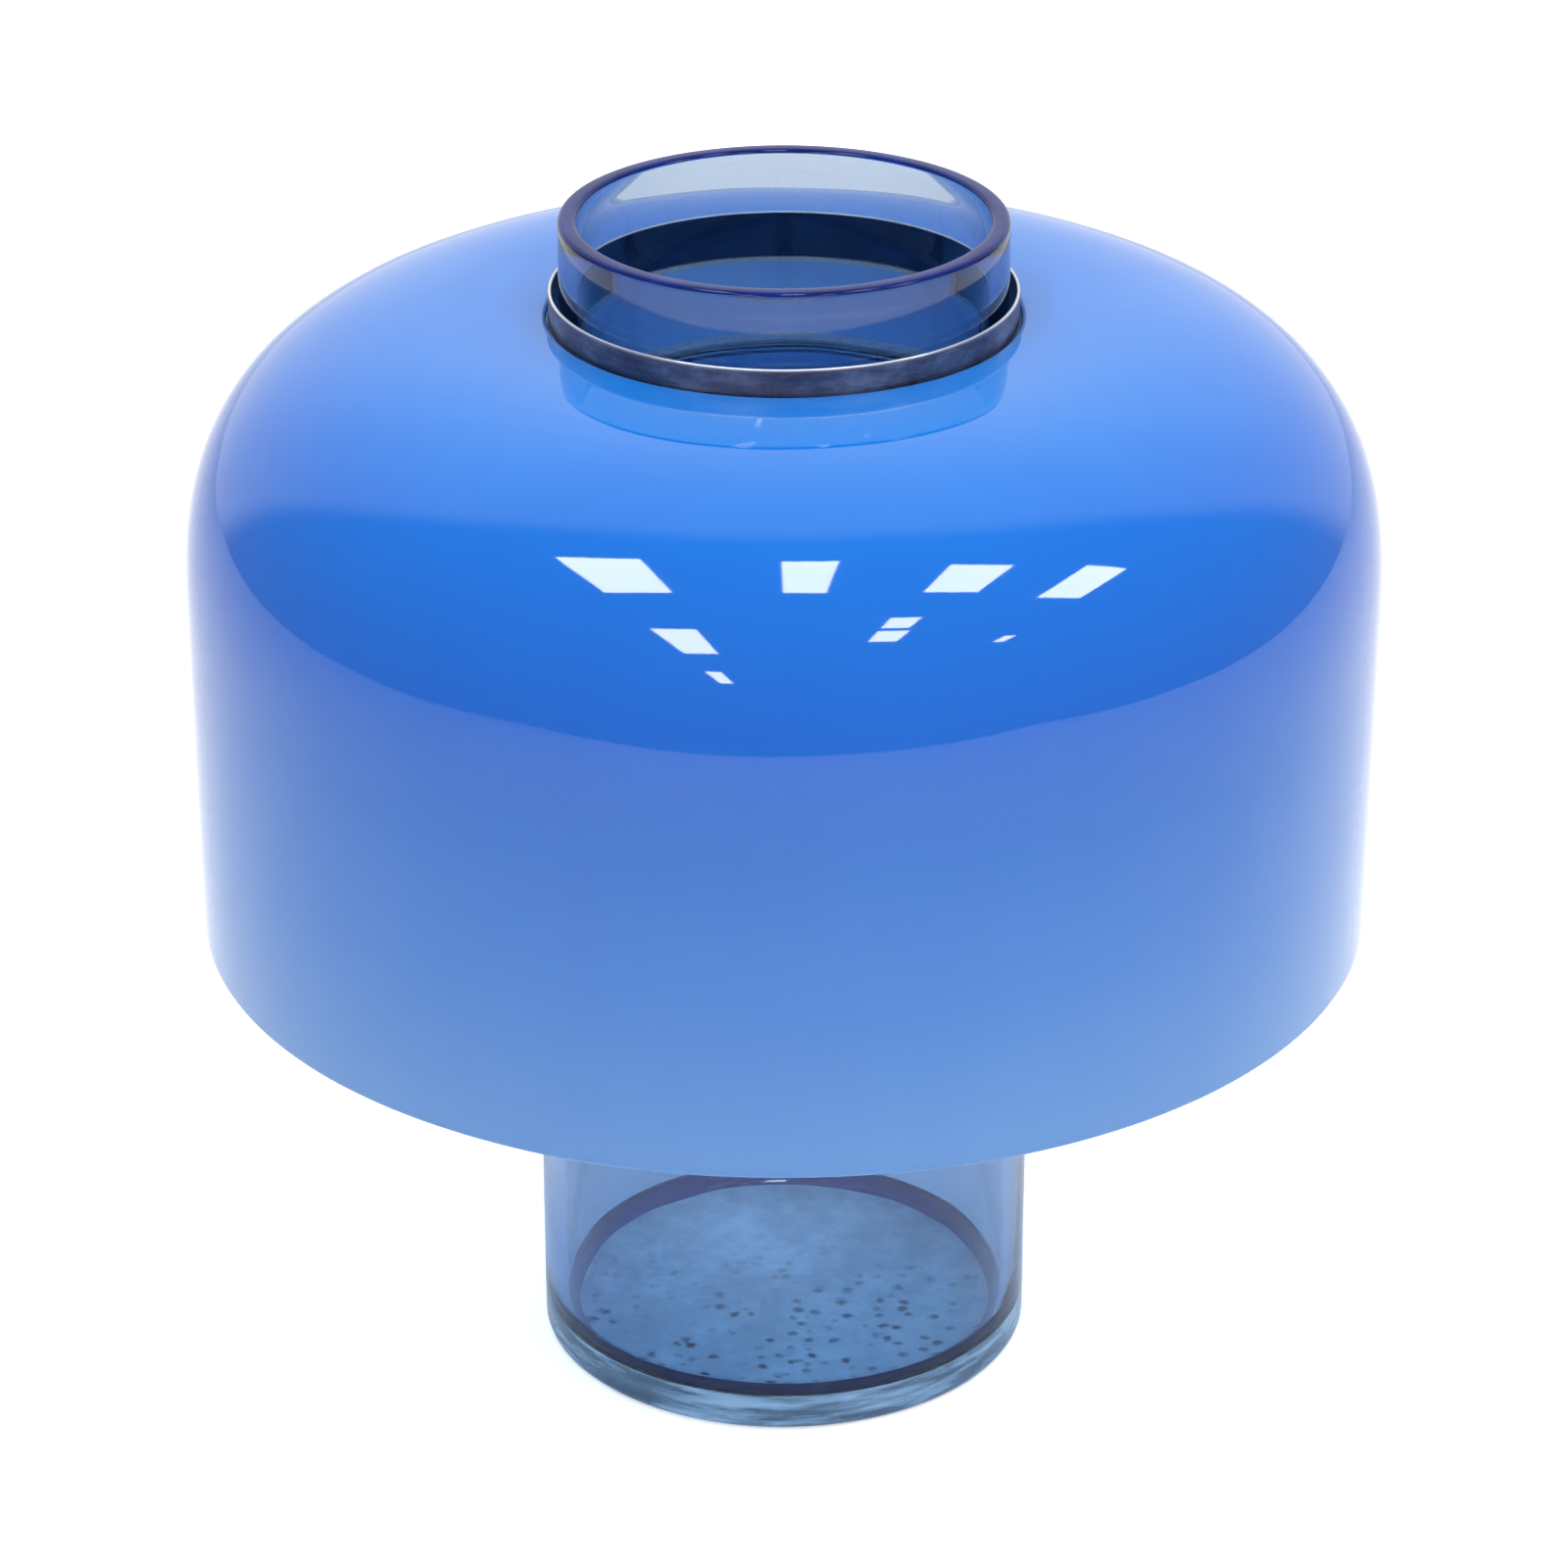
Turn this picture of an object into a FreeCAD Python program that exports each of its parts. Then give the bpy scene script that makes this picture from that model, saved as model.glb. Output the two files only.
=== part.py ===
import FreeCAD, Part
import math
import os

# Table lamp of blown glass: a clear vessel is the foot, and its neck passes up through a domed shade.
# A metal fitting sits on the vessel's shoulder, carries three hanging lampholders and holds the shade up.
# Millimetres, +Z up, origin at the centre of the vessel's flat underside.

V = FreeCAD.Vector
UP = V(0, 0, 1)

# Glass vessel
base_radius = 82.85
base_height = 400.0
base_wall = 7.35
floor_thickness = 9.0
foot_round = 3.5
floor_corner = 8.0
shoulder_height = 328.0
shoulder_round = 4.0
neck_radius = 72.2
neck_wall = 6.2
neck_fillet = 3.0
rim_round = 1.6

# Shade, a dome of two fused layers of glass
shade_radius = 194.65
shade_taper = 0.85
shade_rim_height = 158.3
dome_height = 277.77
dome_rise = 90.43
crown_flat = 12.93
dome_power = 2.533
dome_points = 14
casing_thickness = 2.6
lining_thickness = 3.4
shade_edge_round = 2.2

# Collar in the shade's top hole
collar_gap = 2.2
collar_wall = 1.0
collar_height = 15.2
collar_above = 8.2
cement_thickness = 0.6

# Lamp fitting on the shoulder
gasket_thickness = 1.8
seat_width = 5.1
carrier_gap = 1.8
carrier_thickness = 2.0
flange_thickness = 1.5
flange_width = 17.6
shade_gasket_thickness = 1.3
shade_gasket_setback = 6.0
seat_clearance = 0.3
gasket_clearance = 0.2
ear_overlap = 1.0
upright_wall = 1.5
upright_angles = (0.0, 180.0)
upright_half_angle = 14.0
upright_setback = 3.0
upright_top_foot = 13.0
upright_ear_margin = 2.0
upright_ear_angle = 1.0
upright_screw_angle = 8.0
flange_screw_setback = 7.5

# Small fasteners, M3
screw_radius = 1.5
screw_clearance = 0.15
head_radius = 2.75
head_height = 2.2
slot_width = 0.8
slot_depth = 0.9
sunk_head_clearance = 0.1
nut_flats = 5.5
nut_height = 2.4
thread_proud = 0.8

# Lampholder brackets
lamp_angles = (270.0, 30.0, 150.0)
bracket_width = 16.0
bracket_thickness = 2.0
bracket_eye = 12.0
bracket_start_out = 1.0
bracket_screws_at = (7.0, 15.0)
ear_margin = 4.2

# Fasteners on the carrier ring stand clear of the vessel: distances out from its body
upright_screw_out = 5.2
foot_margin = 6.0

# Lampholders, E14 size
nipple_radius = 5.0
nipple_bore = 3.5
nipple_length = 19.0
nipple_nut_flats = 14.0
nipple_nut_height = 3.0
nipple_proud = 0.4
thread_clearance = 0.05
cap_top_radius = 10.0
cap_radius = 14.6
cap_length = 20.0
cap_wall = 1.8
cap_roof = 4.0
cap_taper_share = 0.4
cap_hollow_share = 0.5
holder_length = 56.0
skirt_wall = 1.6
skirt_engagement = 6.0
skirt_lip = 1.6
lip_clearance = 0.6
core_length = 16.0
core_groove_half_width = 1.5
core_groove_depth = 4.0
shell_radius = 8.2
shell_wall = 0.8
shell_length = 24.0
contact_width = 4.0
contact_thickness = 0.6
contact_drop = 4.0
contact_post_radius = 1.2
contact_plate_extra = 1.0

# Bulbs, small globes with an E14 cap
bulb_clearance = 0.45
bulb_cap_length = 22.0
bulb_cap_wall = 0.6
bulb_tip_length = 3.0
bulb_tip_radius = 2.4
bulb_insulator_radius = 4.2
bulb_glass_radius = 22.5
bulb_neck_fillet = 13.5
bulb_neck_run = 1.5
bulb_neck_overlap = 8.0
bulb_glass_wall = 0.9
insulator_step = 1.0
tip_clearance = 0.3

# Terminal block, cord outlet and leads
terminal_angle = 225.0
terminal_ear_half_width = 17.5
block_out = -2.8
terminal_ear_margin = 9.0
block_length = 24.0
block_width = 14.0
block_height = 16.0
way_spacing = 8.0
way_first = 4.0
terminal_screw_radius = 1.8
terminal_screw_offset = 3.6
terminal_screw_proud = 0.6
terminal_screw_sunk = 1.6
terminal_slot = 0.6
block_screw_grip = 5.5
block_screw_depth = 6.0
bushing_out = 31.2
bushing_radius = 5.0
bushing_bore = 3.6
bushing_flange = 7.2
bushing_flange_height = 2.4
bushing_nut_height = 2.6
bushing_proud = 1.0
bushing_clearance = 0.1
lead_radius = 1.1
lead_height = 9.7
lead_layer = 2.7
lead_entry = 2.5
lead_bend = 8.0
lead_drop_bend = 4.2
earth_screw_side = 13.0
earth_screw_out = 12.2
earth_tag_radius = 3.4
earth_tag_thickness = 0.8
earth_arm_width = 3.0
earth_barrel_wall = 0.4
earth_barrel_height = 4.0
lead_side_gap = 0.15
lead_tail = 2.0

# Heights and radii that follow from the sizes above
shoulder_flat = neck_radius + neck_fillet
seat_inner = shoulder_flat + gasket_clearance
seat_outer = seat_inner + seat_width
carrier_bottom = shoulder_height + gasket_thickness
carrier_top = carrier_bottom + carrier_thickness
carrier_inner = neck_radius + carrier_gap
shade_wall = casing_thickness + lining_thickness
shade_top = dome_height + dome_rise
shade_underside = shade_top - shade_wall
collar_inner = neck_radius + collar_gap
collar_outer = collar_inner + collar_wall
shade_hole = collar_outer + cement_thickness
crown_radius = shade_hole + crown_flat
dome_reach = shade_radius - crown_radius
flange_inner = collar_inner
flange_outer = flange_inner + flange_width
gasket_outer = flange_outer - shade_gasket_setback
gasket_top = shade_underside - seat_clearance
flange_top = gasket_top - shade_gasket_thickness
flange_bottom = flange_top - flange_thickness
shade_rim_radius = shade_radius - shade_taper
collar_top = shade_top + collar_above
collar_bottom = collar_top - collar_height
upright_radius = carrier_inner + upright_setback
upright_screw_radius = base_radius + upright_screw_out
upright_foot_radius = upright_screw_radius + foot_margin
screw_hole = screw_radius + screw_clearance
lamp_radius = 0.5 * (base_radius + shade_rim_radius - shade_wall)
bracket_inner = base_radius + bracket_start_out
bushing_place = base_radius + bushing_out
bracket_top = carrier_top + bracket_thickness
holder_top = carrier_top
holder_bottom = holder_top - holder_length
skirt_radius = cap_radius - cap_wall
core_radius = skirt_radius - skirt_wall
shell_inner = shell_radius - shell_wall
bulb_cap_radius = shell_inner - bulb_clearance
block_bottom = carrier_top
block_top = block_bottom + block_height
lead_level = carrier_top + lead_height


def ring(inner, outer, bottom, top):
    hole = Part.makeCylinder(inner, top - bottom + 2.0, V(0, 0, bottom - 1.0))
    return Part.makeCylinder(outer, top - bottom, V(0, 0, bottom)).cut(hole)


def sector(inner, outer, bottom, top, half_angle):
    wedge = Part.makeCylinder(outer, top - bottom, V(0, 0, bottom), UP, 2.0 * half_angle)
    wedge.rotate(V(0, 0, 0), UP, -half_angle)
    hole = Part.makeCylinder(inner, top - bottom + 2.0, V(0, 0, bottom - 1.0))
    return wedge.cut(hole)


def turned(shape, angle):
    copy = shape.copy()
    copy.rotate(V(0, 0, 0), UP, angle)
    return copy


def rod(radius, bottom, top, x=0.0, y=0.0):
    return Part.makeCylinder(radius, top - bottom, V(x, y, bottom))


def block(x0, x1, half_width, bottom, top):
    return Part.makeBox(x1 - x0, 2.0 * half_width, top - bottom, V(x0, -half_width, bottom))


def hexagon(flats, bottom, top, x=0.0, y=0.0):
    corner = flats / math.sqrt(3.0)
    points = [V(x + corner * math.cos(math.radians(60 * k)), y + corner * math.sin(math.radians(60 * k)), bottom)
              for k in range(7)]
    return Part.Face(Part.makePolygon(points)).extrude(V(0, 0, top - bottom))


def line(a, b):
    return Part.LineSegment(V(a[0], 0, a[1]), V(b[0], 0, b[1])).toShape()


def arc(centre, radius, start, end):
    points = []
    for angle in (start, 0.5 * (start + end), end):
        turn = math.radians(angle)
        points.append(V(centre[0] + radius * math.cos(turn), 0, centre[1] + radius * math.sin(turn)))
    return Part.Arc(*points).toShape()


def spun(edges):
    return Part.Face(Part.Wire(edges)).revolve(V(0, 0, 0), UP, 360.0)


def glass_base():
    r_out = base_radius
    r_in = base_radius - base_wall
    n_out = neck_radius
    n_in = neck_radius - neck_wall
    ceiling = shoulder_height - neck_wall
    edges = [
        line((0, 0), (r_out - foot_round, 0)),
        arc((r_out - foot_round, foot_round), foot_round, -90, 0),
        line((r_out, foot_round), (r_out, shoulder_height - shoulder_round)),
        arc((r_out - shoulder_round, shoulder_height - shoulder_round), shoulder_round, 0, 90),
        line((r_out - shoulder_round, shoulder_height), (n_out + neck_fillet, shoulder_height)),
        arc((n_out + neck_fillet, shoulder_height + neck_fillet), neck_fillet, 270, 180),
        line((n_out, shoulder_height + neck_fillet), (n_out, base_height - rim_round)),
        arc((n_out - rim_round, base_height - rim_round), rim_round, 0, 90),
        line((n_out - rim_round, base_height), (n_in + rim_round, base_height)),
        arc((n_in + rim_round, base_height - rim_round), rim_round, 90, 180),
        line((n_in, base_height - rim_round), (n_in, ceiling + shoulder_round)),
        arc((n_in + shoulder_round, ceiling + shoulder_round), shoulder_round, 180, 270),
        line((n_in + shoulder_round, ceiling), (r_in - shoulder_round, ceiling)),
        arc((r_in - shoulder_round, ceiling - shoulder_round), shoulder_round, 90, 0),
        line((r_in, ceiling - shoulder_round), (r_in, floor_thickness + floor_corner)),
        arc((r_in - floor_corner, floor_thickness + floor_corner), floor_corner, 0, -90),
        line((r_in - floor_corner, floor_thickness), (0, floor_thickness)),
        line((0, floor_thickness), (0, 0)),
    ]
    return spun(edges)


def dome_curve(depth):
    # Layer that lies depth below the outer surface: from the flat crown down to the vertical tangent at dome_height
    points = []
    for k in range(dome_points + 1):
        angle = 0.5 * math.pi * (1.0 - k / dome_points)
        radius = crown_radius + (dome_reach - depth) * abs(math.cos(angle)) ** (2.0 / dome_power)
        height = dome_height + (dome_rise - depth) * math.sin(angle) ** (2.0 / dome_power)
        points.append(V(radius, 0, height))
    points[0] = V(crown_radius, 0, dome_height + dome_rise - depth)
    curve = Part.BSplineCurve()
    curve.interpolate(points)
    return curve.toShape()


def shade_casing():
    edge = shade_edge_round
    start = shade_hole + edge
    inner_top = shade_top - casing_thickness
    inner_rim = shade_rim_radius - casing_thickness
    edges = [
        arc((start, shade_top - edge), edge, 180, 90),
        line((start, shade_top), (crown_radius, shade_top)),
        dome_curve(0.0),
        line((shade_radius, dome_height), (shade_rim_radius, shade_rim_height + edge)),
        arc((shade_rim_radius - edge, shade_rim_height + edge), edge, 0, -90),
        line((shade_rim_radius - edge, shade_rim_height), (inner_rim, shade_rim_height)),
        line((inner_rim, shade_rim_height), (shade_radius - casing_thickness, dome_height)),
        dome_curve(casing_thickness),
        line((crown_radius, inner_top), (shade_hole, inner_top)),
        line((shade_hole, inner_top), (shade_hole, shade_top - edge)),
    ]
    return spun(Part.__sortEdges__(edges))


def shade_lining():
    edge = shade_edge_round
    outer_top = shade_top - casing_thickness
    outer_rim = shade_rim_radius - casing_thickness
    inner_rim = shade_rim_radius - shade_wall
    edges = [
        line((shade_hole, outer_top), (crown_radius, outer_top)),
        dome_curve(casing_thickness),
        line((shade_radius - casing_thickness, dome_height), (outer_rim, shade_rim_height)),
        line((outer_rim, shade_rim_height), (inner_rim + edge, shade_rim_height)),
        arc((inner_rim + edge, shade_rim_height + edge), edge, -90, -180),
        line((inner_rim, shade_rim_height + edge), (shade_radius - shade_wall, dome_height)),
        dome_curve(shade_wall),
        line((crown_radius, shade_underside), (shade_hole, shade_underside)),
        line((shade_hole, shade_underside), (shade_hole, outer_top)),
    ]
    return spun(Part.__sortEdges__(edges))


def shade_collar():
    return ring(collar_inner, collar_outer, collar_bottom, collar_top)


def collar_cement():
    return ring(collar_outer, shade_hole, shade_underside, shade_top - shade_edge_round)


def shoulder_gasket():
    return ring(seat_inner, seat_outer, shoulder_height, carrier_bottom)


def shade_gasket():
    return ring(shade_hole + gasket_clearance, gasket_outer, flange_top, gasket_top)


def upright_screw_places():
    radius = upright_screw_radius
    return [(radius, centre + side * upright_screw_angle) for centre in upright_angles for side in (-1, 1)]


def flange_screw_places():
    radius = upright_radius + flange_screw_setback
    return [(radius, centre + side * upright_screw_angle) for centre in upright_angles for side in (-1, 1)]


def bracket_screw_places():
    return [(base_radius + out, angle) for angle in lamp_angles for out in bracket_screws_at]


def drilled(shape, places, radius, bottom, top):
    for distance, angle in places:
        shape = shape.cut(turned(rod(radius, bottom - 1.0, top + 1.0, distance), angle))
    return shape


def carrier_ring():
    shape = ring(carrier_inner, seat_outer, carrier_bottom, carrier_top)
    for angle in upright_angles:
        ear = sector(carrier_inner + ear_overlap, upright_foot_radius + upright_ear_margin, carrier_bottom, carrier_top,
                     upright_half_angle + upright_ear_angle)
        shape = shape.fuse(turned(ear, angle))
    for angle in lamp_angles:
        reach = base_radius + bracket_screws_at[-1] + ear_margin
        ear = block(carrier_inner + ear_overlap, reach, bracket_width / 2.0, carrier_bottom, carrier_top)
        shape = shape.fuse(turned(ear, angle))
    ear = block(carrier_inner + ear_overlap, bushing_place + terminal_ear_margin, terminal_ear_half_width,
                carrier_bottom, carrier_top)
    bushing = rod(bushing_radius + bushing_clearance, carrier_bottom - 1.0, carrier_top + 1.0, bushing_place)
    ear = ear.cut(bushing)
    ear = ear.cut(rod(screw_hole, carrier_bottom - 1.0, carrier_top + 1.0, block_screw_radius()))
    ear = ear.cut(rod(screw_hole, carrier_bottom - 1.0, carrier_top + 1.0,
                      base_radius + earth_screw_out, -earth_screw_side))
    shape = shape.fuse(turned(ear, terminal_angle)).removeSplitter()
    shape = drilled(shape, upright_screw_places(), screw_hole, carrier_bottom, carrier_top)
    return drilled(shape, bracket_screw_places(), screw_hole, carrier_bottom, carrier_top)


def upright(angle):
    wall = sector(upright_radius, upright_radius + upright_wall, carrier_top, flange_bottom, upright_half_angle)
    foot = sector(upright_radius, upright_foot_radius, carrier_top, carrier_top + upright_wall,
                  upright_half_angle)
    head = sector(upright_radius, upright_radius + upright_top_foot, flange_bottom - upright_wall, flange_bottom,
                  upright_half_angle)
    shape = turned(wall.fuse([foot, head]).removeSplitter(), angle)
    shape = drilled(shape, upright_screw_places(), screw_hole, carrier_top, carrier_top + upright_wall)
    return drilled(shape, flange_screw_places(), screw_hole, flange_bottom - upright_wall, flange_bottom)


def shade_flange():
    shape = ring(flange_inner, flange_outer, flange_bottom, flange_top)
    for radius, angle in flange_screw_places():
        sink = Part.makeCone(screw_hole, head_radius, flange_thickness, V(radius, 0, flange_bottom))
        shape = shape.cut(turned(sink, angle))
    return shape


def pan_screw(radius, angle, seat, length, up=1.0, y=0.0):
    # Head on the seat plane, pointing up, or down when up is -1
    head_low = seat if up > 0 else seat - head_height
    head = rod(head_radius, head_low, head_low + head_height, radius, y)
    slot_low = seat + head_height - slot_depth if up > 0 else seat - head_height
    slot = Part.makeBox(2.0 * head_radius, slot_width, slot_depth, V(radius - head_radius, y - slot_width / 2.0, slot_low))
    shank_low = seat - length if up > 0 else seat
    shank = rod(screw_radius, shank_low, shank_low + length, radius, y)
    return turned(head.cut(slot).fuse(shank).removeSplitter(), angle)


def nut(radius, angle, seat, y=0.0):
    # Nut under the seat plane
    shape = hexagon(nut_flats, seat - nut_height, seat, radius, y)
    return turned(shape.cut(rod(screw_radius, seat - nut_height - 1.0, seat + 1.0, radius, y)), angle)


def upright_screws():
    length = upright_wall + carrier_thickness + nut_height + thread_proud
    return [pan_screw(radius, angle, carrier_top + upright_wall, length) for radius, angle in upright_screw_places()]


def upright_nuts():
    return [nut(radius, angle, carrier_bottom) for radius, angle in upright_screw_places()]


def flange_screws():
    screws = []
    length = flange_thickness + upright_wall + nut_height + thread_proud
    for radius, angle in flange_screw_places():
        head = Part.makeCone(screw_radius, head_radius - sunk_head_clearance, flange_thickness, V(radius, 0, flange_bottom))
        shank = rod(screw_radius, flange_top - length, flange_top, radius)
        screws.append(turned(head.fuse(shank).removeSplitter(), angle))
    return screws


def flange_nuts():
    return [nut(radius, angle, flange_bottom - upright_wall) for radius, angle in flange_screw_places()]


def holder_bracket(angle):
    strip = block(bracket_inner, lamp_radius, bracket_width / 2.0, carrier_top, bracket_top)
    eye = rod(bracket_eye, carrier_top, bracket_top, lamp_radius)
    shape = strip.fuse(eye).removeSplitter()
    shape = shape.cut(rod(nipple_radius + thread_clearance, carrier_top - 1.0, bracket_top + 1.0, lamp_radius))
    for out in bracket_screws_at:
        shape = shape.cut(rod(screw_hole, carrier_top - 1.0, bracket_top + 1.0, base_radius + out))
    return turned(shape, angle)


def bracket_screws():
    length = bracket_thickness + carrier_thickness + nut_height + thread_proud
    return [pan_screw(radius, angle, bracket_top, length) for radius, angle in bracket_screw_places()]


def bracket_nuts():
    return [nut(radius, angle, carrier_bottom) for radius, angle in bracket_screw_places()]


def nipple_top():
    return bracket_top + nipple_nut_height + nipple_proud


def at_lamp(shape, angle):
    copy = shape.copy()
    copy.translate(V(lamp_radius, 0, 0))
    return turned(copy, angle)


def holder_nipples():
    tube = ring(nipple_bore, nipple_radius, nipple_top() - nipple_length, nipple_top())
    return [at_lamp(tube, angle) for angle in lamp_angles]


def nipple_nuts():
    shape = hexagon(nipple_nut_flats, bracket_top, bracket_top + nipple_nut_height)
    shape = shape.cut(rod(nipple_radius, bracket_top - 1.0, bracket_top + nipple_nut_height + 1.0))
    return [at_lamp(shape, angle) for angle in lamp_angles]


def holder_cap(angle):
    bottom = holder_top - cap_length
    inner_top = holder_top - cap_roof
    taper_foot = holder_top - cap_taper_share * cap_length
    hollow_shoulder = holder_top - cap_hollow_share * cap_length
    bore = nipple_radius + thread_clearance
    edges = [
        line((bore, holder_top), (cap_top_radius, holder_top)),
        line((cap_top_radius, holder_top), (cap_radius, taper_foot)),
        line((cap_radius, taper_foot), (cap_radius, bottom)),
        line((cap_radius, bottom), (cap_radius - cap_wall, bottom)),
        line((cap_radius - cap_wall, bottom), (cap_radius - cap_wall, hollow_shoulder)),
        line((cap_radius - cap_wall, hollow_shoulder), (cap_top_radius - cap_wall, inner_top)),
        line((cap_top_radius - cap_wall, inner_top), (bore, inner_top)),
        line((bore, inner_top), (bore, holder_top)),
    ]
    return at_lamp(spun(edges), angle)


def holder_skirt(angle):
    top = holder_top - cap_length + skirt_engagement
    shape = ring(skirt_radius - skirt_wall, skirt_radius, holder_bottom, top)
    lip = ring(shell_radius + lip_clearance, skirt_radius, holder_bottom, holder_bottom + skirt_lip)
    return at_lamp(shape.fuse(lip).removeSplitter(), angle)


def core_bottom():
    return holder_bottom + shell_length + skirt_lip


def holder_core(angle):
    bottom = core_bottom()
    shape = rod(core_radius, bottom, bottom + core_length)
    groove = block(-core_radius - 1.0, core_radius + 1.0, core_groove_half_width, bottom + core_length - core_groove_depth,
                   bottom + core_length + 1.0)
    return at_lamp(shape.cut(groove), angle)


def screw_shell(angle):
    bottom = core_bottom() - shell_length
    return at_lamp(ring(shell_inner, shell_radius, bottom, core_bottom()), angle)


def centre_contact(angle):
    top = core_bottom()
    half = contact_width / 2.0
    plate = block(-half - contact_plate_extra, half + contact_plate_extra, half, top - contact_thickness, top)
    post = rod(contact_post_radius, top - contact_drop + contact_thickness, top - contact_thickness / 2.0)
    button = rod(half, top - contact_drop, top - contact_drop + contact_thickness)
    return at_lamp(plate.fuse([post, button]).removeSplitter(), angle)


def bulb_contact_top():
    return core_bottom() - contact_drop - tip_clearance


def bulb_cap_top():
    return bulb_contact_top() - bulb_tip_length


def bulb_cap(angle):
    top = bulb_cap_top()
    bottom = top - bulb_cap_length
    shape = rod(bulb_cap_radius, bottom, top)
    shape = shape.cut(rod(bulb_cap_radius - bulb_cap_wall, bottom - 1.0, top - bulb_cap_wall))
    return at_lamp(shape.cut(rod(bulb_tip_radius, top - 2.0, top + 1.0)), angle)


def bulb_insulator(angle):
    top = bulb_cap_top()
    cone = Part.makeCone(bulb_insulator_radius, bulb_tip_radius, bulb_tip_length - insulator_step, V(0, 0, top))
    plug = rod(bulb_tip_radius, top - bulb_cap_wall, top)
    return at_lamp(cone.fuse(plug).removeSplitter(), angle)


def bulb_contact(angle):
    top = bulb_contact_top()
    return at_lamp(rod(bulb_tip_radius, top - insulator_step, top), angle)


def globe_outline(radius, neck, fillet, neck_start, mouth):
    # A globe that runs through a fillet into a straight neck, which starts at neck_start
    across = neck + fillet
    rise = math.sqrt((radius + fillet) ** 2 - across ** 2)
    centre = neck_start - rise
    angle = math.degrees(math.atan2(rise, across))
    return [
        arc((0, centre), radius, -90, angle),
        arc((across, neck_start), fillet, 180 + angle, 180),
        line((neck, neck_start), (neck, mouth)),
        line((neck, mouth), (0, mouth)),
        line((0, mouth), (0, centre - radius)),
    ]


def bulb_glass(angle):
    cap_bottom = bulb_cap_top() - bulb_cap_length
    start = cap_bottom - bulb_neck_run
    mouth = cap_bottom + bulb_neck_overlap
    neck = bulb_cap_radius - bulb_cap_wall
    wall = bulb_glass_wall
    outer = globe_outline(bulb_glass_radius, neck, bulb_neck_fillet, start, mouth)
    inner = globe_outline(bulb_glass_radius - wall, neck - wall, bulb_neck_fillet + wall, start, mouth + 1.0)
    return at_lamp(spun(outer).cut(spun(inner)), angle)


def block_screw_radius():
    return base_radius + block_out + way_first + 1.5 * way_spacing


def way_radius(way):
    return base_radius + block_out + way_first + way * way_spacing


def terminal_block():
    x0 = base_radius + block_out
    shape = block(x0, x0 + block_length, block_width / 2.0, block_bottom, block_top)
    for way in range(3):
        x = way_radius(way)
        for level in (lead_level, lead_level + lead_layer):
            pipe = Part.makeCylinder(lead_radius, block_width + 2.0, V(x, -block_width / 2.0 - 1.0, level),
                                     V(0, 1, 0))
            shape = shape.cut(pipe)
        for side in (-1, 1):
            shape = shape.cut(rod(terminal_screw_radius, block_top - terminal_screw_sunk, block_top + 1.0, x,
                                  side * terminal_screw_offset))
    shape = shape.cut(rod(screw_radius, block_bottom - 1.0, block_bottom + block_screw_depth, block_screw_radius()))
    return turned(shape, terminal_angle)


def terminal_screws():
    screws = []
    top = block_top + terminal_screw_proud
    for way in range(3):
        for side in (-1, 1):
            x = way_radius(way)
            y = side * terminal_screw_offset
            head = rod(terminal_screw_radius, block_top - terminal_screw_sunk, top, x, y)
            slot = Part.makeBox(2.0 * terminal_screw_radius, terminal_slot, terminal_slot,
                                V(x - terminal_screw_radius, y - terminal_slot / 2.0, top - terminal_slot))
            screws.append(turned(head.cut(slot), terminal_angle))
    return screws


def block_screw():
    return pan_screw(block_screw_radius(), terminal_angle, carrier_bottom, carrier_thickness + block_screw_grip, -1.0)


def cord_bushing():
    barrel = rod(bushing_radius, carrier_bottom - bushing_nut_height - bushing_proud, carrier_top)
    flange = rod(bushing_flange, carrier_top, carrier_top + bushing_flange_height)
    shape = barrel.fuse(flange).removeSplitter()
    shape = shape.cut(rod(bushing_bore, carrier_bottom - 20.0, carrier_top + 20.0))
    shape.translate(V(bushing_place, 0, 0))
    return turned(shape, terminal_angle)


def bushing_nut():
    low = carrier_bottom - bushing_nut_height
    shape = hexagon(2.0 * bushing_flange, low, carrier_bottom)
    shape = shape.cut(rod(bushing_radius, low - 1.0, carrier_bottom + 1.0))
    shape.translate(V(bushing_place, 0, 0))
    return turned(shape, terminal_angle)


def polar(radius, angle, height):
    return V(radius * math.cos(math.radians(angle)), radius * math.sin(math.radians(angle)), height)


def tube(edges, radius, start, direction):
    circle = Part.Wire(Part.makeCircle(radius, start, direction))
    return Part.Wire(edges).makePipeShell([circle], True, False)


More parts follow.
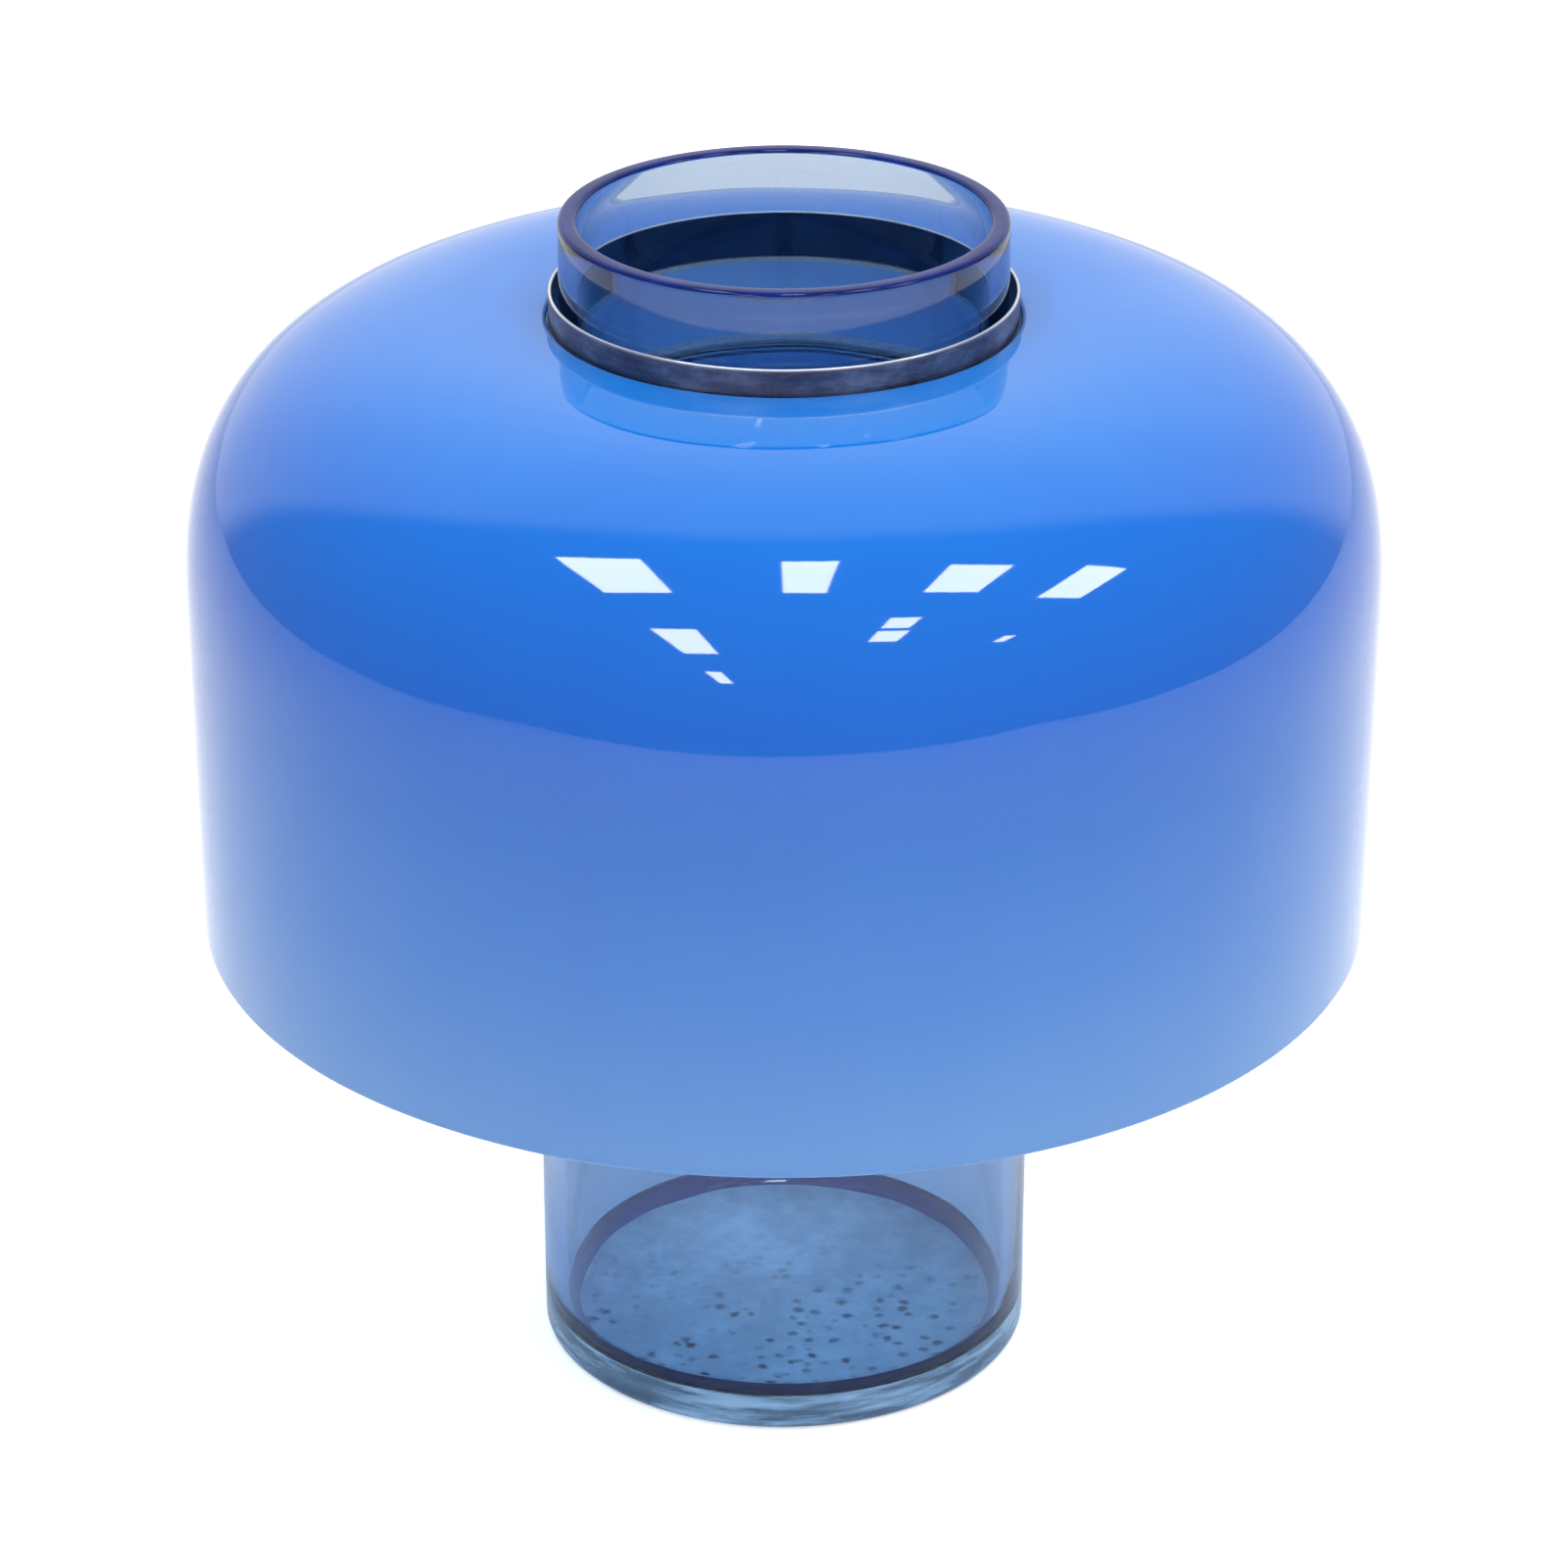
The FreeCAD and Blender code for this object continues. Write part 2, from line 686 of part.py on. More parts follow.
def lead(way, level, lamp_angle, turn, side):
    # Out of the block along its circle, a quarter bend outwards at the lamp, then down into the nipple
    radius = way_radius(way)
    leave = terminal_angle + turn * math.degrees((block_width / 2.0 - lead_entry) / radius)
    offset = side * (lead_radius + lead_side_gap)
    bend_centre_radius = radius + lead_bend
    aside = offset - turn * lead_bend
    swing = math.degrees(math.asin(aside / bend_centre_radius))
    arrive = lamp_angle + swing
    if turn > 0 and arrive < leave:
        arrive += 360.0
    if turn < 0 and arrive > leave:
        arrive -= 360.0
    middle = 0.5 * (leave + arrive)
    start = polar(radius, leave, level)
    end = polar(radius, arrive, level)
    ring_arc = Part.Arc(start, polar(radius, middle, level), end).toShape()
    centre = polar(bend_centre_radius, arrive, level)
    across = polar(1.0, lamp_angle + 90.0, 0.0)
    outward = polar(1.0, lamp_angle, 0.0)
    bend_end = centre + across * (turn * lead_bend)
    half = (end - centre).normalize() + (bend_end - centre).normalize()
    bend_middle = centre + half.normalize() * lead_bend
    bend = Part.Arc(end, bend_middle, bend_end).toShape()
    run = lamp_radius - lead_drop_bend - bend_end.dot(outward)
    corner = bend_end + outward * run
    straight = Part.LineSegment(bend_end, corner).toShape()
    drop_centre = corner - UP * lead_drop_bend
    drop_middle = drop_centre + (outward + UP).normalize() * lead_drop_bend
    drop_end = drop_centre + outward * lead_drop_bend
    drop = Part.Arc(corner, drop_middle, drop_end).toShape()
    tail_end = V(drop_end.x, drop_end.y, holder_top - lead_tail)
    tail = Part.LineSegment(drop_end, tail_end).toShape()
    direction = polar(1.0, leave + turn * 90.0, 0.0)
    return tube([ring_arc, bend, straight, drop, tail], lead_radius, start, direction)


def lamp_leads(way, side):
    layers = (lead_level, lead_level + lead_layer, lead_level)
    turns = (1.0, 1.0, -1.0)
    return [lead(way, layers[k], lamp_angles[k], turns[k], side) for k in range(3)]


def earth_place():
    return base_radius + earth_screw_out, -earth_screw_side


def earth_tag():
    x, y = earth_place()
    disc = rod(earth_tag_radius, carrier_top, carrier_top + earth_tag_thickness, x, y)
    disc = disc.cut(rod(screw_hole, carrier_top - 1.0, carrier_top + 3.0, x, y))
    barrel = rod(lead_radius + earth_barrel_wall, carrier_top + earth_tag_thickness, carrier_top + earth_barrel_height,
                 way_radius(0), earth_lead_y())
    half = earth_arm_width / 2.0
    arm = Part.makeBox(x - way_radius(0) + half, earth_arm_width, earth_tag_thickness,
                       V(way_radius(0) - half, earth_lead_y() - half, carrier_top))
    arm = arm.cut(rod(screw_hole, carrier_top - 1.0, carrier_top + 3.0, x, y))
    barrel = barrel.cut(rod(lead_radius, carrier_top + earth_tag_thickness, carrier_top + 5.0, way_radius(0),
                            earth_lead_y()))
    return turned(disc.fuse([arm, barrel]).removeSplitter(), terminal_angle)


def earth_lead_y():
    return -block_width / 2.0 - lead_drop_bend


def earth_lead():
    x = way_radius(0)
    level = lead_level
    start = V(x, -block_width / 2.0 + lead_entry, level)
    corner = V(x, -block_width / 2.0, level)
    centre = V(x, -block_width / 2.0, level - lead_drop_bend)
    middle = centre + V(0, -1, 1).normalize() * lead_drop_bend
    end = centre + V(0, -lead_drop_bend, 0)
    foot = V(end.x, end.y, carrier_top + earth_tag_thickness)
    edges = [Part.LineSegment(start, corner).toShape(), Part.Arc(corner, middle, end).toShape(),
             Part.LineSegment(end, foot).toShape()]
    return turned(tube(edges, lead_radius, start, V(0, -1, 0)), terminal_angle)


def earth_screw():
    x, y = earth_place()
    length = earth_tag_thickness + carrier_thickness + nut_height + thread_proud
    return pan_screw(x, terminal_angle, carrier_top + earth_tag_thickness, length, 1.0, y)


def earth_nut():
    x, y = earth_place()
    return nut(x, terminal_angle, carrier_bottom, y)


def save(name, shape):
    if isinstance(shape, list):
        shape = Part.makeCompound(shape)
    shape.exportStep("parts/" + name + ".step")


def save_all():
    single = (glass_base, shade_casing, shade_lining, shade_collar, collar_cement, shoulder_gasket, shade_gasket,
              carrier_ring, shade_flange, upright_screws, upright_nuts, flange_screws, flange_nuts, bracket_screws,
              bracket_nuts, holder_nipples, nipple_nuts, terminal_block, terminal_screws, block_screw, cord_bushing,
              bushing_nut, earth_tag, earth_lead, earth_screw, earth_nut)
    for piece in single:
        save(piece.__name__, piece())
    for name, angle in zip(("upright_right", "upright_left"), upright_angles):
        save(name, upright(angle))
    repeated = (holder_bracket, holder_cap, holder_skirt, holder_core, screw_shell, centre_contact, bulb_cap,
                bulb_insulator, bulb_contact, bulb_glass)
    for piece in repeated:
        for number, angle in enumerate(lamp_angles, start=1):
            save(piece.__name__ + "_" + str(number), piece(angle))
    save("live_leads", lamp_leads(1, 1.0))
    save("neutral_leads", lamp_leads(2, -1.0))


os.makedirs("parts", exist_ok=True)
save_all()
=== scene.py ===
import math
import bpy
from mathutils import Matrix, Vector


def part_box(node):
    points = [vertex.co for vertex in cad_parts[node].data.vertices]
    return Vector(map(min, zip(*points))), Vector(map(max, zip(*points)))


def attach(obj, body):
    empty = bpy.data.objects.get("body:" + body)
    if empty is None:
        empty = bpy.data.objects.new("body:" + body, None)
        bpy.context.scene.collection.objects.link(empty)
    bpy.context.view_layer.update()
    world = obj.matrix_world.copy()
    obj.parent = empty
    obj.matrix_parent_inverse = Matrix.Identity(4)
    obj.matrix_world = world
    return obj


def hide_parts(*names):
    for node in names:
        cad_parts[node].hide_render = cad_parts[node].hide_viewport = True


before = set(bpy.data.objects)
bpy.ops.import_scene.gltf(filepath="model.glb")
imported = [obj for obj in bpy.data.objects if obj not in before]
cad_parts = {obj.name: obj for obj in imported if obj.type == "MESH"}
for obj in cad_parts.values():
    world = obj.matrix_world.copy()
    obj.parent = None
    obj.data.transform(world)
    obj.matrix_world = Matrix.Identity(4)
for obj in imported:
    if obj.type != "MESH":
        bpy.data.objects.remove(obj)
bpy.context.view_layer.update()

# Glass vessel: the foot of the lamp and, through its neck, the top. Light blue glass blown into a mould,
# with a thick floor, a rounded shoulder and a cut and polished rim. Dust lies on the inside of its floor.

vessel_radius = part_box("glass_base")[1].x
rim_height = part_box("glass_base")[1].z
shoulder_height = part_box("shoulder_gasket")[0].z
collar_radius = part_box("shade_collar")[1].x
collar_stand = 0.0032
neck_wall = 0.0062
body_wall = 0.00735
neck_radius = collar_radius - collar_stand
neck_bore = neck_radius - neck_wall
vessel_bore = vessel_radius - body_wall
ceiling_height = shoulder_height - neck_wall
floor_height = 0.009
floor_corner = 0.008
foot_round = 0.0035
shoulder_round = 0.004
neck_fillet = 0.003
rim_round = 0.0016
round_steps = 256


def bend(centre, radius, start, end, steps=8):
    """Points along an arc in the plane of radius and height, from one angle to another in degrees."""
    turns = [math.radians(start + (end - start) * k / steps) for k in range(steps + 1)]
    return [(centre[0] + radius * math.cos(a), centre[1] + radius * math.sin(a)) for a in turns]


def between(first, last, count):
    """Evenly spaced points on a straight wall, without its two ends."""
    return [(first[0] + (last[0] - first[0]) * k / count, first[1] + (last[1] - first[1]) * k / count)
            for k in range(1, count)]


def spun(name, outline, closed=False, steps=round_steps, centre=(0, 0)):
    """An outline of (radius, height) points, drawn by extruding one point along it, then spun round."""
    bpy.ops.object.select_all(action="DESELECT")
    bpy.ops.mesh.primitive_plane_add(size=0.001,
                                     location=(outline[0][0] + centre[0], centre[1], outline[0][1]))
    piece = bpy.context.object
    piece.name = piece.data.name = name
    bpy.ops.object.transform_apply(location=True, rotation=True, scale=True)
    bpy.ops.object.mode_set(mode="EDIT")
    bpy.ops.mesh.select_all(action="SELECT")
    bpy.ops.mesh.merge(type="CENTER")
    path = outline + outline[:1] if closed else outline
    for a, b in zip(path, path[1:]):
        bpy.ops.mesh.extrude_vertices_move(TRANSFORM_OT_translate={"value": (b[0] - a[0], 0, b[1] - a[1])})
    bpy.ops.mesh.select_all(action="SELECT")
    bpy.ops.mesh.remove_doubles(threshold=1e-6)
    bpy.ops.mesh.spin(steps=steps, angle=2 * math.pi, center=(centre[0], centre[1], 0), axis=(0, 0, 1))
    bpy.ops.mesh.select_all(action="SELECT")
    bpy.ops.mesh.remove_doubles(threshold=1e-6)
    bpy.ops.mesh.normals_make_consistent(inside=False)
    bpy.ops.object.mode_set(mode="OBJECT")
    bpy.ops.object.shade_smooth_by_angle(angle=math.radians(40))
    return piece


def rippled(piece, reach, size):
    """Lets a blown wall wander by a fraction of a millimetre, as hand-worked glass does."""
    wander = bpy.data.textures.new(piece.name + "_wander", "CLOUDS")
    wander.noise_scale = size
    ripple = piece.modifiers.new("wander", "DISPLACE")
    ripple.texture = wander
    ripple.texture_coords = "LOCAL"
    ripple.strength = reach
    bpy.ops.object.select_all(action="DESELECT")
    piece.select_set(True)
    bpy.context.view_layer.objects.active = piece
    bpy.ops.object.modifier_apply(modifier=ripple.name)


def finish_of(name, colour, roughness, metal=0.0):
    made = bpy.data.materials.new(name)
    made.use_nodes = True
    shader = made.node_tree.nodes["Principled BSDF"]
    shader.inputs["Base Color"].default_value = (*colour, 1)
    shader.inputs["Roughness"].default_value = roughness
    shader.inputs["Metallic"].default_value = metal
    return made, made.node_tree, shader


def speckle(tree, scale, stretch=(1, 1, 1), detail=4.0, rough=0.5):
    """A noise in the piece's own coordinates: its value runs from 0 to 1."""
    place = tree.nodes.new("ShaderNodeTexCoord")
    turn = tree.nodes.new("ShaderNodeMapping")
    turn.inputs["Scale"].default_value = stretch
    noise = tree.nodes.new("ShaderNodeTexNoise")
    noise.inputs["Scale"].default_value = scale
    noise.inputs["Detail"].default_value = detail
    noise.inputs["Roughness"].default_value = rough
    tree.links.new(place.outputs["Object"], turn.inputs["Vector"])
    tree.links.new(turn.outputs["Vector"], noise.inputs["Vector"])
    return noise.outputs["Fac"]


def graded(tree, value, stops):
    """A colour ramp over a value: stops are (position, colour) pairs."""
    ramp = tree.nodes.new("ShaderNodeValToRGB")
    ramp.color_ramp.elements[0].position = stops[0][0]
    ramp.color_ramp.elements[0].color = (*stops[0][1], 1)
    ramp.color_ramp.elements[1].position = stops[-1][0]
    ramp.color_ramp.elements[1].color = (*stops[-1][1], 1)
    for position, colour in stops[1:-1]:
        ramp.color_ramp.elements.new(position).color = (*colour, 1)
    tree.links.new(value, ramp.inputs["Fac"])
    return ramp.outputs["Color"]


def rescaled(tree, value, low, high, bottom=0.0, top=1.0):
    """A value between low and high, eased to run from bottom to top."""
    scale = tree.nodes.new("ShaderNodeMapRange")
    scale.interpolation_type = "SMOOTHSTEP"
    for name, number in zip(("From Min", "From Max", "To Min", "To Max"), (low, high, bottom, top)):
        scale.inputs[name].default_value = number
    tree.links.new(value, scale.inputs["Value"])
    return scale.outputs["Result"]


def raised(tree, shader, value, height):
    """Surface relief from a value, height in metres."""
    bump = tree.nodes.new("ShaderNodeBump")
    bump.inputs["Strength"].default_value = 1.0
    bump.inputs["Distance"].default_value = height
    tree.links.new(value, bump.inputs["Height"])
    tree.links.new(bump.outputs["Normal"], shader.inputs["Normal"])


def absorb(made, colour, density):
    """Colour that deepens with the thickness of the glass."""
    soak = made.node_tree.nodes.new("ShaderNodeVolumeAbsorption")
    soak.inputs["Color"].default_value = (*colour, 1)
    soak.inputs["Density"].default_value = density
    made.node_tree.links.new(soak.outputs["Volume"], made.node_tree.nodes["Material Output"].inputs["Volume"])


def lets_light_by(made, colour):
    """Lamp and daylight pass the glass in this colour instead of leaving a black shadow behind it."""
    tree = made.node_tree
    path = tree.nodes.new("ShaderNodeLightPath")
    through = tree.nodes.new("ShaderNodeBsdfTransparent")
    through.inputs["Color"].default_value = (*colour, 1)
    either = tree.nodes.new("ShaderNodeMixShader")
    tree.links.new(path.outputs["Is Shadow Ray"], either.inputs["Fac"])
    tree.links.new(tree.nodes["Principled BSDF"].outputs["BSDF"], either.inputs[1])
    tree.links.new(through.outputs["BSDF"], either.inputs[2])
    tree.links.new(either.outputs["Shader"], tree.nodes["Material Output"].inputs["Surface"])


vessel_tint = (0.095, 0.41, 0.676)
vessel_density = 105.0
vessel_outline = [(0, 0), (0.04, 0), (0.068, 0)]
vessel_outline += bend((vessel_radius - foot_round, foot_round), foot_round, -90, 0)
vessel_outline += between((vessel_radius, foot_round), (vessel_radius, shoulder_height - shoulder_round), 32)
vessel_outline += bend((vessel_radius - shoulder_round, shoulder_height - shoulder_round),
                       shoulder_round, 0, 90)
vessel_outline += bend((neck_radius + neck_fillet, shoulder_height + neck_fillet), neck_fillet, 270, 180, 6)
vessel_outline += between((neck_radius, shoulder_height + neck_fillet),
                          (neck_radius, rim_height - rim_round), 10)
vessel_outline += bend((neck_radius - rim_round, rim_height - rim_round), rim_round, 0, 90, 5)
vessel_outline += bend((neck_bore + rim_round, rim_height - rim_round), rim_round, 90, 180, 5)
vessel_outline += between((neck_bore, rim_height - rim_round),
                          (neck_bore, ceiling_height + shoulder_round), 10)
vessel_outline += bend((neck_bore + shoulder_round, ceiling_height + shoulder_round), shoulder_round,
                       180, 270, 6)
vessel_outline += bend((vessel_bore - shoulder_round, ceiling_height - shoulder_round), shoulder_round,
                       90, 0, 6)
vessel_outline += between((vessel_bore, ceiling_height - shoulder_round),
                          (vessel_bore, floor_height + floor_corner), 32)
vessel_outline += bend((vessel_bore - floor_corner, floor_height + floor_corner), floor_corner, 0, -90, 10)
vessel_outline += [(0.055, floor_height), (0.03, floor_height), (0, floor_height)]
vessel = spun("vessel", vessel_outline)
rippled(vessel, 0.0005, 0.09)

vessel_glass, tree, shader = finish_of("vessel_glass", (1, 1, 1), 0.0)
shader.inputs["Transmission Weight"].default_value = 1.0
shader.inputs["IOR"].default_value = 1.5
raised(tree, shader, speckle(tree, 9.0, (1, 1, 0.25), 2.0), 0.0006)
absorb(vessel_glass, vessel_tint, vessel_density)
lets_light_by(vessel_glass, (0.95, 0.96, 0.97))
vessel.data.materials.append(vessel_glass)

# The same glass under a film of old dust, with dark grit that has gathered to the front. Its colour is
# palest round a spot toward the back and darker away from it.
dusty_glass, tree, shader = finish_of("dusty_glass", (1, 1, 1), 0.25)
shader.inputs["IOR"].default_value = 1.5
shader.inputs["Specular IOR Level"].default_value = 0.2
place = tree.nodes.new("ShaderNodeTexCoord")
parts = tree.nodes.new("ShaderNodeSeparateXYZ")
tree.links.new(place.outputs["Object"], parts.inputs["Vector"])
cells = tree.nodes.new("ShaderNodeTexVoronoi")
cells.inputs["Scale"].default_value = 160.0
tree.links.new(place.outputs["Object"], cells.inputs["Vector"])
ragged = tree.nodes.new("ShaderNodeMath")
ragged.operation = "ADD"
tree.links.new(cells.outputs["Distance"], ragged.inputs[0])
tree.links.new(speckle(tree, 260.0, (1, 1, 1), 6.0, 0.8), ragged.inputs[1])
grit = tree.nodes.new("ShaderNodeMath")
grit.operation = "MULTIPLY"
tree.links.new(rescaled(tree, ragged.outputs["Value"], 0.92, 0.60), grit.inputs[0])
tree.links.new(rescaled(tree, speckle(tree, 75.0, (1, 1, 1), 3.0), 0.36, 0.58), grit.inputs[1])
gathered = tree.nodes.new("ShaderNodeMath")
gathered.operation = "MULTIPLY"
tree.links.new(grit.outputs["Value"], gathered.inputs[0])
tree.links.new(rescaled(tree, parts.outputs["Y"], 0.05, -0.035), gathered.inputs[1])
# Paler close to one spot toward the back, darker further from it.
from_pale_spot = tree.nodes.new("ShaderNodeVectorMath")
from_pale_spot.operation = "DISTANCE"
from_pale_spot.inputs[1].default_value = (-0.014, 0.034, 0.009)
tree.links.new(place.outputs["Object"], from_pale_spot.inputs[0])
pale = graded(tree, rescaled(tree, from_pale_spot.outputs["Value"], 0.0, 0.045),
              [(0.0, (0.86, 1.0, 0.96)), (1.0, (0.62, 0.80, 0.76))])
soiled = tree.nodes.new("ShaderNodeMix")
soiled.data_type = "RGBA"
soiled.inputs["B"].default_value = (0.03, 0.045, 0.07, 1)
tree.links.new(gathered.outputs["Value"], soiled.inputs["Factor"])
tree.links.new(pale, soiled.inputs["A"])
tree.links.new(soiled.outputs["Result"], shader.inputs["Base Color"])
bloom = rescaled(tree, speckle(tree, 60.0, (1, 1, 1), 8.0, 0.7), 0.35, 0.70, 0.42, 0.12)
tree.links.new(bloom, shader.inputs["Transmission Weight"])
absorb(dusty_glass, vessel_tint, vessel_density)
lets_light_by(dusty_glass, (0.85, 0.90, 0.95))

# The underside is ground flat, so it is satin and scatters the light that runs down inside the wall.
ground_glass, tree, shader = finish_of("ground_glass", (0.62, 0.80, 0.95), 0.45)
shader.inputs["IOR"].default_value = 1.5
scratches = speckle(tree, 170.0, (1, 1, 1), 6.0, 0.6)
tree.links.new(rescaled(tree, scratches, 0.3, 0.7, 0.25, 0.55), shader.inputs["Transmission Weight"])
tree.links.new(graded(tree, scratches, [(0.3, (0.50, 0.68, 0.86)), (0.7, (0.74, 0.88, 0.98))]),
               shader.inputs["Base Color"])
raised(tree, shader, scratches, 0.00008)
absorb(ground_glass, vessel_tint, vessel_density)
lets_light_by(ground_glass, (0.9, 0.94, 0.97))

# The polished rim shows the wall end-on. Its deep navy is painted shade, standing in for the light lost along
# the long path through the wall.
rim_glass_painted_navy, tree, shader = finish_of("rim_glass_painted_navy", (0.003, 0.010, 0.11), 0.06)
shader.inputs["IOR"].default_value = 1.5
shader.inputs["Specular IOR Level"].default_value = 0.15
tree.links.new(graded(tree, speckle(tree, 60.0, detail=4.0),
                      [(0.3, (0.002, 0.006, 0.07)), (0.7, (0.006, 0.018, 0.15))]),
               shader.inputs["Base Color"])
absorb(rim_glass_painted_navy, vessel_tint, vessel_density)

# The neck looks smokier than the body: greyer and a little darker.
neck_glass, tree, shader = finish_of("neck_glass", (1, 1, 1), 0.0)
shader.inputs["Transmission Weight"].default_value = 1.0
shader.inputs["IOR"].default_value = 1.5
raised(tree, shader, speckle(tree, 9.0, (1, 1, 0.25), 2.0), 0.0006)
absorb(neck_glass, (0.043, 0.304, 0.583), 115.0)
lets_light_by(neck_glass, (0.88, 0.90, 0.94))

# Round the foot, the thick floor is seen edge-on. Its paler colour and streaks are painted light, standing in
# for light that runs inside the glass.
foot_glass_painted_light, tree, shader = finish_of("foot_glass_painted_light", (0.34, 0.60, 0.92), 0.04)
shader.inputs["IOR"].default_value = 1.5
run = speckle(tree, 26.0, (1, 1, 9), 4.0, 0.6)
tree.links.new(rescaled(tree, run, 0.35, 0.65, 0.35, 0.80), shader.inputs["Transmission Weight"])
tree.links.new(graded(tree, run, [(0.35, (0.46, 0.72, 0.97)), (0.65, (0.28, 0.50, 0.78))]),
               shader.inputs["Base Color"])
absorb(foot_glass_painted_light, vessel_tint, vessel_density)

# In the corner where the wall runs into the floor, the glass gathers thick; its navy is painted shade,
# standing in for the light lost there.
corner_glass_painted_shade, tree, shader = finish_of("corner_glass_painted_shade", (0.02, 0.07, 0.36), 0.03)
shader.inputs["IOR"].default_value = 1.5
painted_shade_patches = speckle(tree, 30.0, (1, 1, 3), 4.0)
tree.links.new(rescaled(tree, painted_shade_patches, 0.35, 0.65, 0.25, 0.6), shader.inputs["Transmission Weight"])
tree.links.new(graded(tree, painted_shade_patches, [(0.3, (0.015, 0.05, 0.28)), (0.7, (0.04, 0.12, 0.46))]),
               shader.inputs["Base Color"])
absorb(corner_glass_painted_shade, vessel_tint, vessel_density)
for glass in (dusty_glass, ground_glass, rim_glass_painted_navy, foot_glass_painted_light, neck_glass, corner_glass_painted_shade):
    vessel.data.materials.append(glass)
for face in vessel.data.polygons:
    if face.normal.z > 0.9 and face.center.z < floor_height + 0.002:
        face.material_index = 1
    if face.normal.z < -0.9 and face.center.z < 0.001:
        face.material_index = 2
    if face.normal.z > 0.25 and face.center.z > rim_height - 0.0025:
        face.material_index = 3
    if abs(face.normal.z) < 0.9 and face.center.z < 0.0105 and face.center.xy.length > vessel_bore + 0.002:
        face.material_index = 4
    if abs(face.normal.z) < 0.25 and face.center.z > shoulder_height + 0.004:
        face.material_index = 5
    if 0.2 < face.normal.z < 0.9 and face.center.z < floor_height + floor_corner:
        face.material_index = 6
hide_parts("glass_base")
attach(vessel, "base")

# Rubber rings: one under the metal fitting on the glass shoulder, one between the flange and the shade.
# Cut from black sheet, a little dusty.


def dress(made, *names):
    for name in names:
        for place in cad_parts[name].material_slots:
            place.material = made


black_rubber, tree, shader = finish_of("black_rubber", (0.03, 0.03, 0.033), 0.8)
grain = speckle(tree, 320.0, detail=6.0)
tree.links.new(graded(tree, grain, [(0.3, (0.02, 0.02, 0.022)), (0.75, (0.075, 0.075, 0.08))]),
               shader.inputs["Base Color"])
raised(tree, shader, grain, 0.0002)
dress(black_rubber, "shoulder_gasket", "shade_gasket")

# Carrier ring, straps, flange and lampholder brackets: punched and bent sheet steel under off-white stove
# lacquer, with an orange-peel surface and yellowed patches.

lacquer, tree, shader = finish_of("off_white_lacquer", (0.74, 0.74, 0.71), 0.3)
peel = speckle(tree, 420.0, detail=2.0)
yellowed = speckle(tree, 28.0, detail=8.0, rough=0.65)
tree.links.new(graded(tree, yellowed, [(0.30, (0.76, 0.76, 0.74)), (0.62, (0.68, 0.66, 0.58)),
                                       (0.80, (0.42, 0.36, 0.28))]),
               shader.inputs["Base Color"])
tree.links.new(rescaled(tree, peel, 0.3, 0.8, 0.24, 0.42), shader.inputs["Roughness"])
raised(tree, shader, peel, 0.00012)
dress(lacquer, "carrier_ring", "shade_flange", "upright_left", "upright_right",
      "holder_bracket_1", "holder_bracket_2", "holder_bracket_3")

# Machine screws and nuts: bright zinc, turned, with a faint iridescent cloudiness.

zinc, tree, shader = finish_of("bright_zinc", (0.6, 0.61, 0.62), 0.3, 1.0)
cloud = speckle(tree, 180.0, (1, 1, 3), 5.0)
tree.links.new(graded(tree, cloud, [(0.3, (0.42, 0.44, 0.47)), (0.7, (0.74, 0.73, 0.69))]),
               shader.inputs["Base Color"])
tree.links.new(rescaled(tree, cloud, 0.3, 0.8, 0.22, 0.45), shader.inputs["Roughness"])
raised(tree, shader, speckle(tree, 900.0, (1, 1, 6), 2.0), 0.00005)
dress(zinc, "upright_screws", "upright_nuts", "flange_screws", "flange_nuts", "bracket_screws",
      "bracket_nuts", "nipple_nuts", "block_screw", "earth_screw", "earth_nut")

# Lampholders: a bakelite cap with grip ribs screwed on a skirt with a coarse outer thread, round a porcelain
# core, a screw shell of rolled brass sheet and a sprung contact. A threaded brass nipple hangs each one.

lamp_numbers = (1, 2, 3)
holder_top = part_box("holder_cap_1")[1].z
cap_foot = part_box("holder_cap_1")[0].z
skirt_foot, skirt_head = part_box("holder_skirt_1")[0].z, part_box("holder_skirt_1")[1].z
shell_foot, shell_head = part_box("screw_shell_1")[0].z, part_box("screw_shell_1")[1].z
cap_width = 0.0146
cap_shoulder = 0.0100
cap_roof = 0.0040
skirt_width = 0.0128
skirt_wall = 0.0016
skirt_lip = 0.0088
shell_width = 0.0082
nipple_width = 0.0050
nipple_bore = 0.0035
nipple_fit = 0.00005
thread_depth = 0.0006
edge_break = 0.0002
rib_count = 36
rib_proud = 0.0006


def wave(radius, depth, low, high, pitch, per_turn=6):
    """A rolled thread seen from the side: points whose radius swings in and out, pitch by pitch."""
    count = round((high - low) / pitch) * per_turn
    return [(radius - depth * (0.5 - 0.5 * math.cos(2 * math.pi * k / per_turn)),
             low + (high - low) * k / count)
            for k in range(count + 1)]


def at_lamps(model, node, bodies):
    """Copies a finished piece to the three lamp places. Each copy has a mesh of its own."""
    for number, body in zip(lamp_numbers, bodies):
        low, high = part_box(f"{node}_{number}")
        twin = model.copy()
        twin.data = model.data.copy()
        twin.name = twin.data.name = f"{model.name}_{number}"
        bpy.context.collection.objects.link(twin)
        bpy.ops.object.select_all(action="DESELECT")
        twin.select_set(True)
        bpy.context.view_layer.objects.active = twin
        twin.location = ((low.x + high.x) / 2, (low.y + high.y) / 2, 0)
        bpy.ops.object.transform_apply(location=True, rotation=False, scale=False)
        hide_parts(f"{node}_{number}")
        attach(twin, body)
    bpy.data.objects.remove(model)


fitting_only = ("fitting", "fitting", "fitting")
bulb_bodies = ("bulb_1", "bulb_2", "bulb_3")

